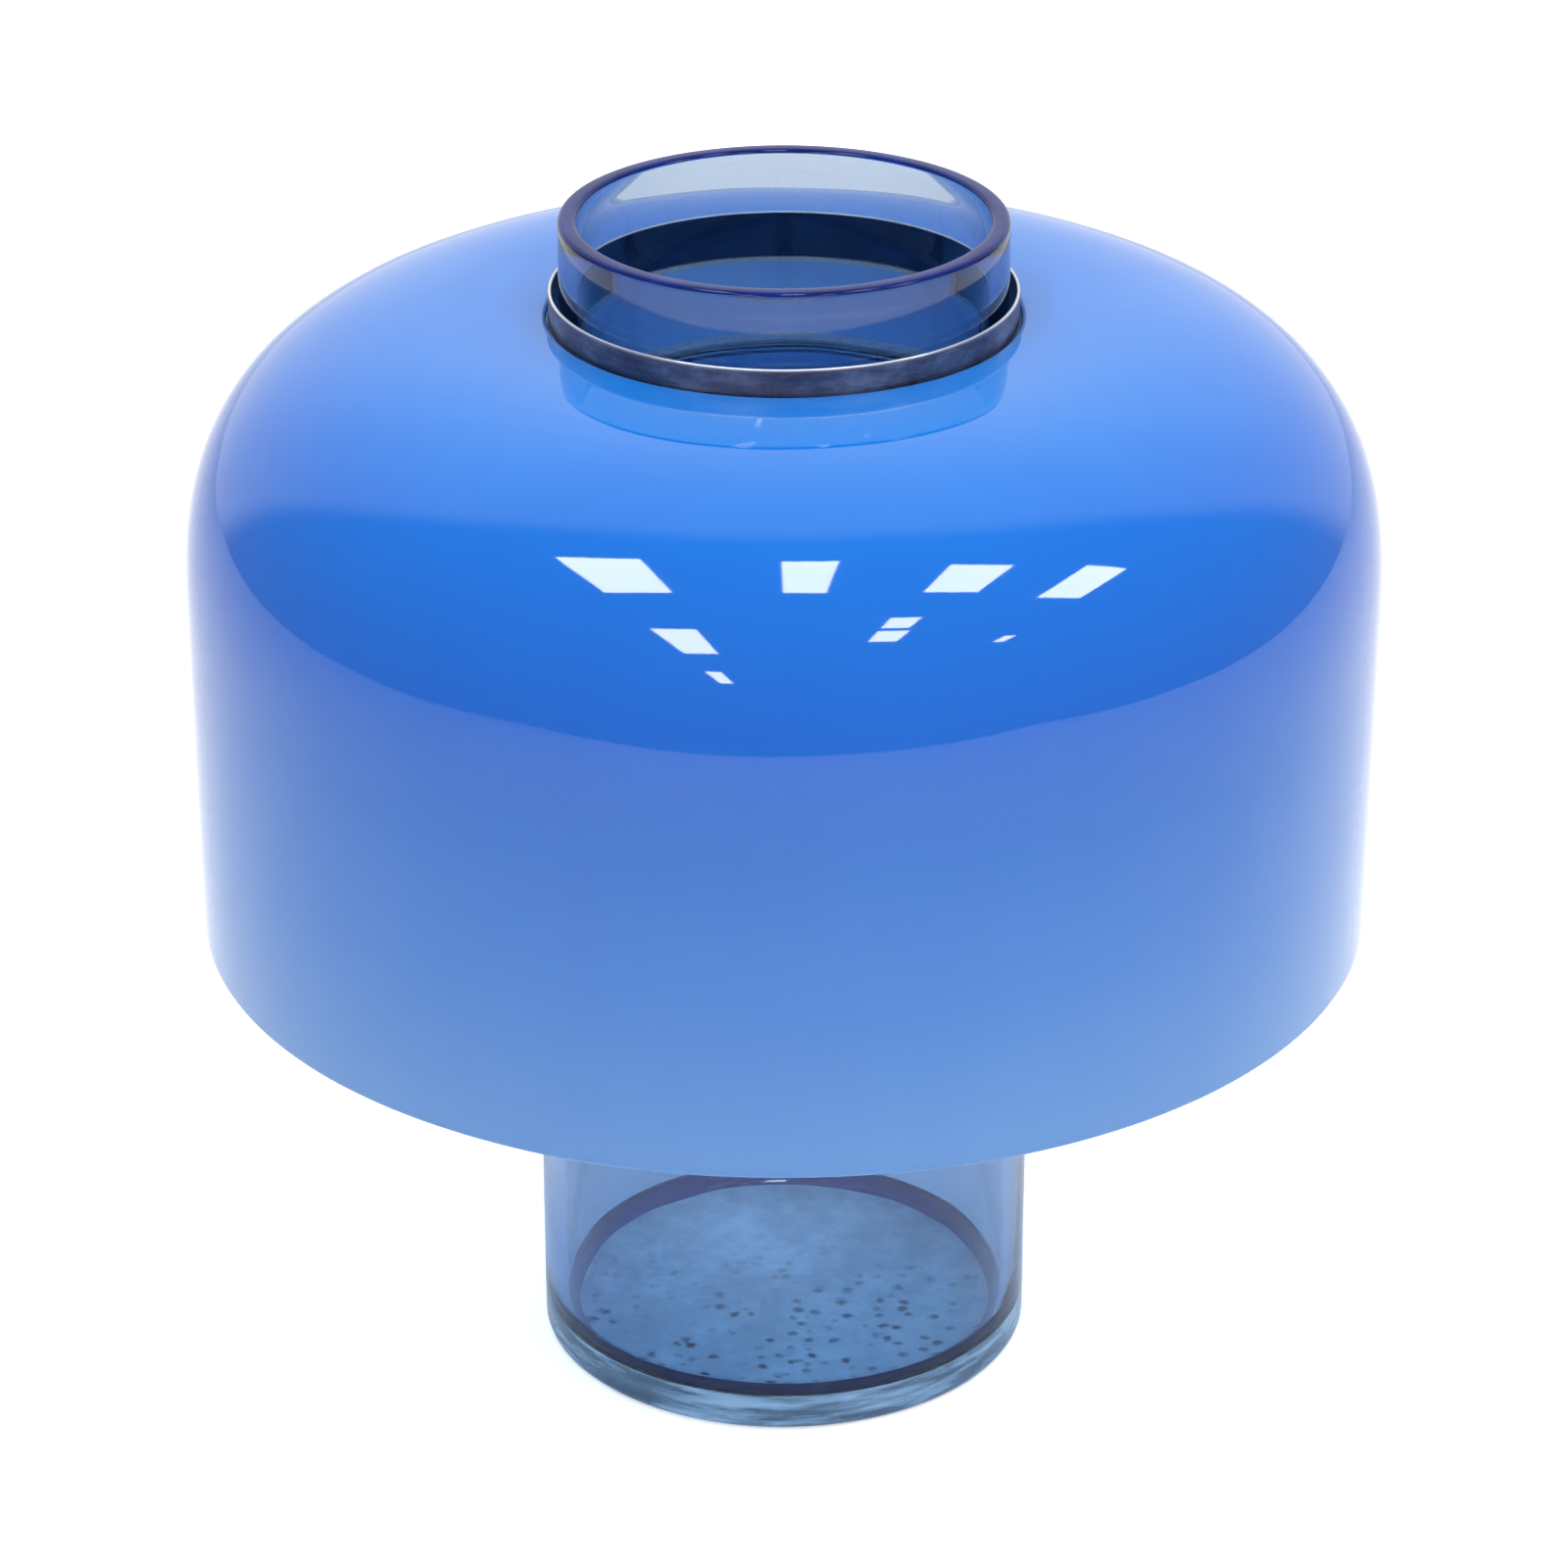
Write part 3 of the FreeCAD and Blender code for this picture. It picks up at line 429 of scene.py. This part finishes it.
bakelite, tree, shader = finish_of("black_bakelite", (0.03, 0.027, 0.025), 0.25)
swirl = speckle(tree, 70.0, (1, 1, 0.5), 7.0, 0.6)
tree.links.new(graded(tree, swirl, [(0.35, (0.016, 0.013, 0.012)), (0.7, (0.055, 0.045, 0.04))]),
               shader.inputs["Base Color"])
tree.links.new(rescaled(tree, swirl, 0.3, 0.8, 0.18, 0.36), shader.inputs["Roughness"])
raised(tree, shader, speckle(tree, 600.0), 0.00004)

cap_outline = [(nipple_width + nipple_fit, holder_top), (cap_shoulder - 0.001, holder_top)]
cap_outline += [(cap_shoulder, holder_top - 0.0006), (0.0127, holder_top - 0.0045),
                (cap_width - 0.0004, holder_top - 0.0077)]
cap_outline += [(cap_width, holder_top - 0.0085), (cap_width, holder_top - 0.0092),
                (cap_width, holder_top - 0.0098)]
cap_outline += [(cap_width, cap_foot + 0.0026), (cap_width, cap_foot + 0.0020),
                (cap_width, cap_foot + 0.0006)]
cap_outline += [(cap_width - 0.0006, cap_foot), (skirt_width + 0.0002, cap_foot),
                (skirt_width, cap_foot + 0.0004)]
cap_outline += [(skirt_width, holder_top - 0.010), (0.0082, holder_top - cap_roof),
                (nipple_width + nipple_fit, holder_top - cap_roof)]
holder_cap = spun("holder_cap", cap_outline, closed=True, steps=4 * rib_count)
bpy.ops.object.mode_set(mode="EDIT")
bpy.ops.mesh.select_all(action="DESELECT")
bpy.ops.object.mode_set(mode="OBJECT")
for vertex in holder_cap.data.vertices:
    column = round(math.atan2(vertex.co.y, vertex.co.x) / math.tau * 4 * rib_count) % 4
    outside = math.hypot(vertex.co.x, vertex.co.y) > cap_width - 0.00005
    vertex.select = outside and column < 2 and cap_foot + 0.0023 < vertex.co.z < holder_top - 0.0095
bpy.ops.object.mode_set(mode="EDIT")
swell = 1 + rib_proud / cap_width
bpy.ops.transform.resize(value=(swell, swell, 1), center_override=(0, 0, 0))
bpy.ops.object.mode_set(mode="OBJECT")
holder_cap.data.materials.append(bakelite)
at_lamps(holder_cap, "holder_cap", fitting_only)

skirt_outline = [(skirt_width - skirt_wall, skirt_head), (skirt_width - edge_break, skirt_head),
                 (skirt_width, skirt_head - edge_break)]
skirt_outline += wave(skirt_width, thread_depth, skirt_foot + 0.004, skirt_foot + 0.034, 0.003)[::-1]
skirt_outline += [(skirt_width, skirt_foot + 0.0008), (skirt_width - 0.0008, skirt_foot),
                  (0.0092, skirt_foot)]
skirt_outline += [(skirt_lip, skirt_foot + 0.0004), (skirt_lip, skirt_foot + skirt_wall),
                  (skirt_width - skirt_wall, skirt_foot + skirt_wall)]
holder_skirt = spun("holder_skirt", skirt_outline, closed=True, steps=96)
holder_skirt.data.materials.append(bakelite)
at_lamps(holder_skirt, "holder_skirt", fitting_only)

brass, tree, shader = finish_of("lampholder_brass", (0.62, 0.43, 0.16), 0.3, 1.0)
stain = speckle(tree, 150.0, (1, 1, 0.6), 7.0, 0.6)
tree.links.new(graded(tree, stain, [(0.3, (0.27, 0.17, 0.07)), (0.5, (0.55, 0.38, 0.15)),
                                    (0.75, (0.72, 0.53, 0.23))]),
               shader.inputs["Base Color"])
tree.links.new(rescaled(tree, stain, 0.3, 0.7, 0.45, 0.2), shader.inputs["Roughness"])
raised(tree, shader, speckle(tree, 900.0, (1, 1, 8), 2.0), 0.00003)

shell_outline = wave(shell_width, thread_depth, shell_foot, shell_head, 0.0024)
shell_outline += [(radius - 0.0003, height) for radius, height in shell_outline[::-1]]
screw_shell = spun("screw_shell", shell_outline, closed=True, steps=72)
screw_shell.data.materials.append(brass)
at_lamps(screw_shell, "screw_shell", fitting_only)
dress(brass, "centre_contact_1", "centre_contact_2", "centre_contact_3")

nipple_foot, nipple_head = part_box("holder_nipples")[0].z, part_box("holder_nipples")[1].z
nipple_outline = wave(nipple_width, 0.0004, nipple_foot, nipple_head, 0.001, 4)
nipple_outline += [(nipple_bore + edge_break, nipple_head), (nipple_bore, nipple_head - edge_break),
                   (nipple_bore, nipple_foot + edge_break), (nipple_bore + edge_break, nipple_foot)]
nipples = []
for number in lamp_numbers:
    low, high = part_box(f"holder_cap_{number}")
    nipple = spun(f"nipple_{number}", nipple_outline, closed=True, steps=48)
    nipple.location = ((low.x + high.x) / 2, (low.y + high.y) / 2, 0)
    bpy.ops.object.transform_apply(location=True, rotation=False, scale=False)
    nipple.data.materials.append(brass)
    nipples.append(nipple)
bpy.ops.object.select_all(action="DESELECT")
for nipple in nipples:
    nipple.select_set(True)
bpy.context.view_layer.objects.active = nipples[0]
bpy.ops.object.join()
nipples = bpy.context.object
nipples.name = nipples.data.name = "nipples"
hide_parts("holder_nipples")
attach(nipples, "fitting")

porcelain, tree, shader = finish_of("glazed_porcelain", (0.86, 0.84, 0.79), 0.16)
craze = speckle(tree, 140.0, detail=8.0, rough=0.65)
tree.links.new(graded(tree, craze, [(0.3, (0.72, 0.68, 0.60)), (0.6, (0.88, 0.86, 0.81))]),
               shader.inputs["Base Color"])
raised(tree, shader, craze, 0.00006)
dress(porcelain, "holder_core_1", "holder_core_2", "holder_core_3")

# Bulbs: small opal globes, blown thin and cemented in a rolled nickelled cap. The cap ends in a solder
# contact on black glass.

bulb_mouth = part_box("bulb_glass_1")[1].z
bulb_cap_foot, bulb_cap_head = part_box("bulb_cap_1")[0].z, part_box("bulb_cap_1")[1].z
bulb_width = 0.0225
bulb_wall = 0.0009
bulb_cap_width = 0.00695
throat = bulb_cap_width - thread_depth
throat_fillet = 0.0135
throat_start = bulb_cap_foot - 0.0015

nickel, tree, shader = finish_of("nickelled_cap", (0.6, 0.58, 0.54), 0.22, 1.0)
bloom = speckle(tree, 210.0, detail=6.0, rough=0.6)
tree.links.new(graded(tree, bloom, [(0.3, (0.36, 0.34, 0.31)), (0.65, (0.70, 0.68, 0.64))]),
               shader.inputs["Base Color"])
tree.links.new(rescaled(tree, bloom, 0.3, 0.7, 0.4, 0.18), shader.inputs["Roughness"])

bulb_cap_outline = [(bulb_cap_width, bulb_cap_foot), (bulb_cap_width, bulb_cap_foot + 0.004)]
bulb_cap_outline += wave(bulb_cap_width + 0.0002, thread_depth, bulb_cap_foot + 0.005, bulb_cap_foot + 0.0194,
                         0.0024)
bulb_cap_outline += [(0.0060, bulb_cap_head - 0.0006), (0.0052, bulb_cap_head), (0.0024, bulb_cap_head)]
bulb_cap_outline += [(0.0024, bulb_cap_head - 0.0005), (0.0050, bulb_cap_head - 0.0005),
                     (0.0061, bulb_cap_head - 0.003)]
bulb_cap_outline += [(throat + 0.0002, bulb_cap_foot + 0.004), (throat + 0.0002, bulb_cap_foot)]
bulb_cap = spun("bulb_cap", bulb_cap_outline, closed=True, steps=72)
bulb_cap.data.materials.append(nickel)
at_lamps(bulb_cap, "bulb_cap", bulb_bodies)

opal, tree, shader = finish_of("opal_bulb_glass", (0.86, 0.86, 0.84), 0.1)
cloud = speckle(tree, 55.0, detail=3.0)
tree.links.new(graded(tree, cloud, [(0.3, (0.80, 0.81, 0.80)), (0.7, (0.90, 0.90, 0.88))]),
               shader.inputs["Base Color"])
shader.inputs["Coat Weight"].default_value = 0.6
shader.inputs["Coat Roughness"].default_value = 0.03


def globe(radius, throat, fillet, start, mouth):
    """Outline of a bulb's skin: a globe that runs through a fillet into its straight neck."""
    across = throat + fillet
    rise = math.sqrt((radius + fillet) ** 2 - across ** 2)
    lean = math.degrees(math.atan2(rise, across))
    skin = bend((0, start - rise), radius, -90, lean, 30)
    skin += bend((across, start), fillet, 180 + lean, 180, 10)[1:]
    return skin + [(throat, mouth)]


bulb_outline = globe(bulb_width, throat, throat_fillet, throat_start, bulb_mouth)
bulb_outline += globe(bulb_width - bulb_wall, throat - bulb_wall, throat_fillet + bulb_wall, throat_start,
                      bulb_mouth)[::-1]
bulb_glass = spun("bulb_glass", bulb_outline, steps=72)
bulb_glass.data.materials.append(opal)
at_lamps(bulb_glass, "bulb_glass", bulb_bodies)

black_glass, tree, shader = finish_of("black_glass", (0.01, 0.01, 0.012), 0.08)
tree.links.new(rescaled(tree, speckle(tree, 300.0, detail=5.0), 0.3, 0.8, 0.04, 0.2),
               shader.inputs["Roughness"])
dress(black_glass, "bulb_insulator_1", "bulb_insulator_2", "bulb_insulator_3")

solder, tree, shader = finish_of("solder", (0.42, 0.42, 0.43), 0.4, 1.0)
lumps = speckle(tree, 500.0, detail=4.0)
tree.links.new(graded(tree, lumps, [(0.3, (0.28, 0.28, 0.29)), (0.7, (0.52, 0.52, 0.53))]),
               shader.inputs["Base Color"])
raised(tree, shader, lumps, 0.0002)
dress(solder, "bulb_contact_1", "bulb_contact_2", "bulb_contact_3")

# Terminal block of moulded cream plastic on its ear of the carrier ring, a bakelite cord bushing beside it,
# a brass earth tag, and the leads in coloured plastic that run round the fitting to the lampholders.

cream, tree, shader = finish_of("cream_plastic", (0.78, 0.72, 0.58), 0.4)
ageing = speckle(tree, 90.0, detail=6.0, rough=0.6)
tree.links.new(graded(tree, ageing, [(0.3, (0.66, 0.57, 0.40)), (0.7, (0.83, 0.78, 0.66))]),
               shader.inputs["Base Color"])
raised(tree, shader, speckle(tree, 800.0), 0.00005)
dress(cream, "terminal_block")
dress(bakelite, "cord_bushing", "bushing_nut")
dress(brass, "terminal_screws", "earth_tag")
for node, dark, light in (("live_leads", (0.10, 0.04, 0.02), (0.17, 0.07, 0.035)),
                          ("neutral_leads", (0.02, 0.07, 0.25), (0.035, 0.11, 0.36)),
                          ("earth_lead", (0.05, 0.22, 0.04), (0.11, 0.34, 0.07))):
    cover, tree, shader = finish_of(node + "_cover", light, 0.45)
    wear = speckle(tree, 160.0, detail=5.0)
    tree.links.new(graded(tree, wear, [(0.3, dark), (0.7, light)]), shader.inputs["Base Color"])
    raised(tree, shader, speckle(tree, 700.0), 0.00008)
    dress(cover, node)

# Shade: a dome of two fused layers of blown glass, clear blue over blue opal, with its top opened and its
# rim cut and ground. The blue is painted deepest on the dome and paler toward the rim; the milkier blue
# at the rim is painted light, the glow of light that comes through the wall from inside.

shade_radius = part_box("shade_casing")[1].x
shade_rim, shade_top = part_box("shade_casing")[0].z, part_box("shade_casing")[1].z
cement_bead = 0.0006
crown_flat = 0.01293
layer_overlap = 0.0002
hole_radius = collar_radius + cement_bead
dome_height = 0.27777
dome_rise = shade_top - dome_height
crown_radius = hole_radius + crown_flat
dome_reach = shade_radius - crown_radius
dome_power = 2.533
shade_taper = 0.00085
shade_wall = 0.0060
casing_wall = 0.0026
edge_round = 0.0022


def dome(first, depth, steps=44):
    """The curve of a layer lying depth under the outer face: a flat crown from radius first, then the dome."""
    reach, rise = dome_reach - depth, dome_rise - depth
    crown = dome_height + rise
    curve = [(first, crown), ((first + crown_radius) / 2, crown), (crown_radius, crown)]
    for k in range(1, steps):
        turn = math.pi / 2 * (1 - (k / steps) ** 1.25)
        curve.append((crown_radius + reach * math.cos(turn) ** (2 / dome_power),
                      dome_height + rise * math.sin(turn) ** (2 / dome_power)))
    return curve + [(shade_radius - depth, dome_height)]


def skirt(depth, low, count=24):
    """The slightly tapered wall from the dome down to just above the rim."""
    return between((shade_radius - depth, dome_height), (shade_radius - shade_taper - depth, low), count) + [
        (shade_radius - shade_taper - depth, low)]


casing_outline = bend((hole_radius + edge_round, shade_top - edge_round), edge_round, 180, 90)
casing_outline += dome(hole_radius + edge_round, 0.0)[1:]
casing_outline += skirt(0.0, shade_rim + edge_round)
casing_outline += bend((shade_radius - shade_taper - edge_round, shade_rim + edge_round), edge_round, 0,
                       -90)[1:]
casing_outline += [(shade_radius - shade_taper - casing_wall - layer_overlap, shade_rim)]
casing_outline += skirt(casing_wall + layer_overlap, shade_rim)[:-1][::-1]
casing_outline += dome(hole_radius, casing_wall + layer_overlap)[::-1]
casing = spun("shade_outer_glass", casing_outline, closed=True, steps=256)
rippled(casing, 0.0005, 0.11)

blue_glass, tree, shader = finish_of("blue_cased_glass", (0.02, 0.155, 0.68), 0.035)
shader.inputs["IOR"].default_value = 1.5
lets_light_by(blue_glass, (0.70, 0.84, 0.96))
place = tree.nodes.new("ShaderNodeTexCoord")
parts = tree.nodes.new("ShaderNodeSeparateXYZ")
tree.links.new(place.outputs["Object"], parts.inputs["Vector"])
height = tree.nodes.new("ShaderNodeMapRange")
for name, number in (("From Min", shade_rim), ("From Max", shade_top)):
    height.inputs[name].default_value = number
tree.links.new(parts.outputs["Z"], height.inputs["Value"])
# Colour by height: the paler blue low on the skirt is painted light coming through the wall.
blue_with_painted_glow = graded(tree, height.outputs["Result"], [
    (0.0, (0.08, 0.23, 0.53)), (0.02, (0.095, 0.245, 0.55)), (0.27, (0.044, 0.18, 0.53)),
    (0.5, (0.016, 0.138, 0.50)),
    (0.7, (0.010, 0.112, 0.50)), (0.9, (0.005, 0.120, 0.50)), (1.0, (0.005, 0.145, 0.51))])
streak = speckle(tree, 14.0, (1, 1, 0.12), 3.0)
mixed = tree.nodes.new("ShaderNodeMix")
mixed.data_type = "RGBA"
mixed.blend_type = "MULTIPLY"
mixed.inputs["Factor"].default_value = 1.0
tree.links.new(blue_with_painted_glow, mixed.inputs["A"])
tree.links.new(graded(tree, streak, [(0.3, (0.90, 0.93, 0.97)), (0.7, (1.0, 1.0, 1.0))]), mixed.inputs["B"])
tree.links.new(mixed.outputs["Result"], shader.inputs["Base Color"])
raised(tree, shader, speckle(tree, 11.0, (1, 1, 0.5), 1.0), 0.0008)
casing.data.materials.append(blue_glass)
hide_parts("shade_casing")
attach(casing, "shade")

lining_outline = [(hole_radius, shade_top - shade_wall + 0.0002)]
lining_outline += dome(hole_radius, casing_wall - 0.0001)
lining_outline += skirt(casing_wall - 0.0001, shade_rim + 0.00008)
lining_outline += bend((shade_radius - shade_taper - shade_wall + edge_round,
                        shade_rim + 0.00008 + edge_round),
                       edge_round, 270, 180)
lining_outline += skirt(shade_wall, shade_rim + 0.003)[:-1][::-1]
lining_outline += dome(hole_radius, shade_wall)[::-1]
lining = spun("shade_opal_lining", lining_outline, closed=True, steps=256)

# The lining's blue is partly its own tint and partly painted light: the blue glow of light that comes in
# through the blue casing.
opal_with_painted_glow, tree, shader = finish_of("opal_lining", (0.36, 0.58, 0.88), 0.08)
shader.inputs["IOR"].default_value = 1.5
lets_light_by(opal_with_painted_glow, (0.84, 0.91, 0.96))
cloud = speckle(tree, 10.0, (1, 1, 0.4), 4.0)
tree.links.new(graded(tree, cloud, [(0.3, (0.28, 0.50, 0.84)), (0.7, (0.38, 0.60, 0.90))]),
               shader.inputs["Base Color"])
raised(tree, shader, speckle(tree, 14.0, (1, 1, 0.4), 1.0), 0.0006)
lining.data.materials.append(opal_with_painted_glow)
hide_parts("shade_lining")
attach(lining, "shade")

# Collar cemented in the shade's top hole: rolled metal strip with a brushed face, darkened with age. Its
# top millimetre is lighter, and its inner face is painted blue-black, as painted shade inside the ring.

collar_foot, collar_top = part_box("shade_collar")[0].z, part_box("shade_collar")[1].z
collar_inside_painted_shade = collar_radius - 0.001
collar_outline = [(collar_inside_painted_shade, collar_foot), (collar_radius - 0.0002, collar_foot),
                  (collar_radius, collar_foot + 0.0002)]
collar_outline += between((collar_radius, collar_foot), (collar_radius, collar_top), 8)
collar_outline += bend((collar_radius - 0.0004, collar_top - 0.0004), 0.0004, 0, 90, 4)
collar_outline += bend((collar_inside_painted_shade + 0.0004, collar_top - 0.0004), 0.0004, 90, 180, 4)
collar_outline += between((collar_inside_painted_shade, collar_top), (collar_inside_painted_shade, collar_foot), 8)
collar = spun("collar", collar_outline, closed=True)

tarnished, tree, shader = finish_of("tarnished_collar", (0.2, 0.2, 0.22), 0.35, 1.0)
place = tree.nodes.new("ShaderNodeTexCoord")
parts = tree.nodes.new("ShaderNodeSeparateXYZ")
tree.links.new(place.outputs["Object"], parts.inputs["Vector"])
# The top millimetre of the collar is lightened toward pale grey.
lighter_top_mask = rescaled(tree, parts.outputs["Z"], collar_top - 0.0011, collar_top - 0.0002)
stain = speckle(tree, 45.0, (1, 1, 2.5), 8.0, 0.65)
brushing = speckle(tree, 30.0, (1, 1, 70), 3.0)
aged = graded(tree, stain, [(0.3, (0.11, 0.085, 0.10)), (0.5, (0.25, 0.20, 0.22)),
                            (0.72, (0.55, 0.47, 0.45))])
bright = tree.nodes.new("ShaderNodeMix")
bright.data_type = "RGBA"
bright.inputs["B"].default_value = (0.72, 0.72, 0.72, 1)
tree.links.new(lighter_top_mask, bright.inputs["Factor"])
tree.links.new(aged, bright.inputs["A"])
tree.links.new(bright.outputs["Result"], shader.inputs["Base Color"])
tree.links.new(rescaled(tree, brushing, 0.3, 0.7, 0.25, 0.5), shader.inputs["Roughness"])
raised(tree, shader, brushing, 0.00008)
collar.data.materials.append(tarnished)
# Inner face painted blue-black: painted shade inside the ring, seen through blue glass.
painted_shade_inside, tree, shader = finish_of("collar_inside_painted_shade", (0.012, 0.05, 0.14), 0.5, 0.4)
tree.links.new(graded(tree, speckle(tree, 60.0, (1, 1, 3), 7.0, 0.6),
                      [(0.3, (0.006, 0.028, 0.08)), (0.7, (0.022, 0.075, 0.19))]),
               shader.inputs["Base Color"])
collar.data.materials.append(painted_shade_inside)
for face in collar.data.polygons:
    if face.center.xy.length < collar_radius - 0.0006 and face.center.z < collar_top - 0.0006:
        face.material_index = 1
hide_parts("shade_collar")
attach(collar, "shade")

# The cement is painted near-black: painted shade in the narrow joint between collar and glass.
cement_painted_dark, tree, shader = finish_of("cement_painted_shade", (0.06, 0.07, 0.10), 0.85)
crumb = speckle(tree, 400.0, detail=6.0)
tree.links.new(graded(tree, crumb, [(0.3, (0.02, 0.025, 0.05)), (0.7, (0.10, 0.11, 0.14))]),
               shader.inputs["Base Color"])
raised(tree, shader, crumb, 0.0004)
dress(cement_painted_dark, "collar_cement")

# Floor, light and camera. A pale floor runs back behind the lamp. Soft daylight comes from behind it, from
# bright ceiling panes and from a wide haze overhead.

bpy.ops.object.select_all(action="DESELECT")
bpy.ops.mesh.primitive_plane_add(size=1.0, location=(0, 0, 0))
floor = bpy.context.object
floor.name = "floor"
bpy.ops.object.mode_set(mode="EDIT")
bpy.ops.transform.resize(value=(4.2, 5.1, 1))
bpy.ops.transform.translate(value=(0, 0.45, -0.0002))
bpy.ops.mesh.subdivide(number_cuts=8)
bpy.ops.object.mode_set(mode="OBJECT")
pale, tree, shader = finish_of("pale_floor", (0.93, 0.93, 0.93), 0.6)
tree.links.new(graded(tree, speckle(tree, 3.0), [(0.3, (0.90, 0.90, 0.905)), (0.7, (0.94, 0.94, 0.945))]),
               shader.inputs["Base Color"])
# Seen directly, the floor glows a little, so that it stays white round the lamp.
shader.inputs["Emission Color"].default_value = (1, 1, 1, 1)
path = tree.nodes.new("ShaderNodeLightPath")
tree.links.new(rescaled(tree, path.outputs["Is Camera Ray"], 0.0, 1.0, 0.0, 0.5),
               shader.inputs["Emission Strength"])
floor.data.materials.append(pale)

world = bpy.context.scene.world or bpy.data.worlds.new("daylight")
bpy.context.scene.world = world
world.use_nodes = True
tree = world.node_tree
sky = tree.nodes["Background"]
place = tree.nodes.new("ShaderNodeTexCoord")
lean = tree.nodes.new("ShaderNodeVectorMath")
lean.operation = "DOT_PRODUCT"
lean.inputs[1].default_value = (0, 1, 0.47)
tree.links.new(place.outputs["Generated"], lean.inputs[0])
behind = rescaled(tree, lean.outputs["Value"], 0.55, 0.69)
tree.links.new(graded(tree, behind, [(0.0, (0.30, 0.31, 0.33)), (1.0, (1.0, 1.0, 1.0))]), sky.inputs["Color"])
sky.inputs["Strength"].default_value = 1.15

pane_height = 2.4
pane_glow = 18.0
for number, (left, right, near, far) in enumerate(((-1.13, -0.67, -0.98, -0.27), (-0.02, 0.235, -0.97, -0.30),
                                                   (0.83, 1.25, -0.98, -0.39), (1.9, 2.5, -1.1, -0.37),
                                                   (-1.15, -0.75, -3.05, -2.0), (-1.2, -0.95, -5.5, -4.3),
                                                   (0.78, 1.04, -1.94, -1.62), (0.78, 1.08, -2.45, -2.04),
                                                   (2.42, 2.6, -2.66, -2.38))):
    glow = bpy.data.lights.new(f"pane_{number}", "AREA")
    glow.shape = "RECTANGLE"
    glow.size = right - left
    glow.size_y = far - near
    glow.energy = pane_glow * math.pi * glow.size * glow.size_y
    pane = bpy.data.objects.new(f"pane_{number}", glow)
    pane.location = ((left + right) / 2, (near + far) / 2, pane_height)
    bpy.context.collection.objects.link(pane)

haze = bpy.data.lights.new("haze", "AREA")
haze.size = 4.0
haze.energy = 26.0
overhead = bpy.data.objects.new("haze", haze)
overhead.location = (0, 0.2, 2.8)
overhead.visible_glossy = False
overhead.visible_transmission = False
bpy.context.collection.objects.link(overhead)

view_pitch = 64.83
view_distance = 1.634
view_height = 0.9685
lens = bpy.data.cameras.new("camera")
lens.lens = 124.38
lens.sensor_width = 36.0
camera = bpy.data.objects.new("camera", lens)
camera.location = (0, -view_distance, view_height)
camera.rotation_euler = (math.radians(view_pitch), 0, 0)
bpy.context.collection.objects.link(camera)
bpy.context.scene.camera = camera
bpy.context.scene.view_settings.view_transform = "Standard"
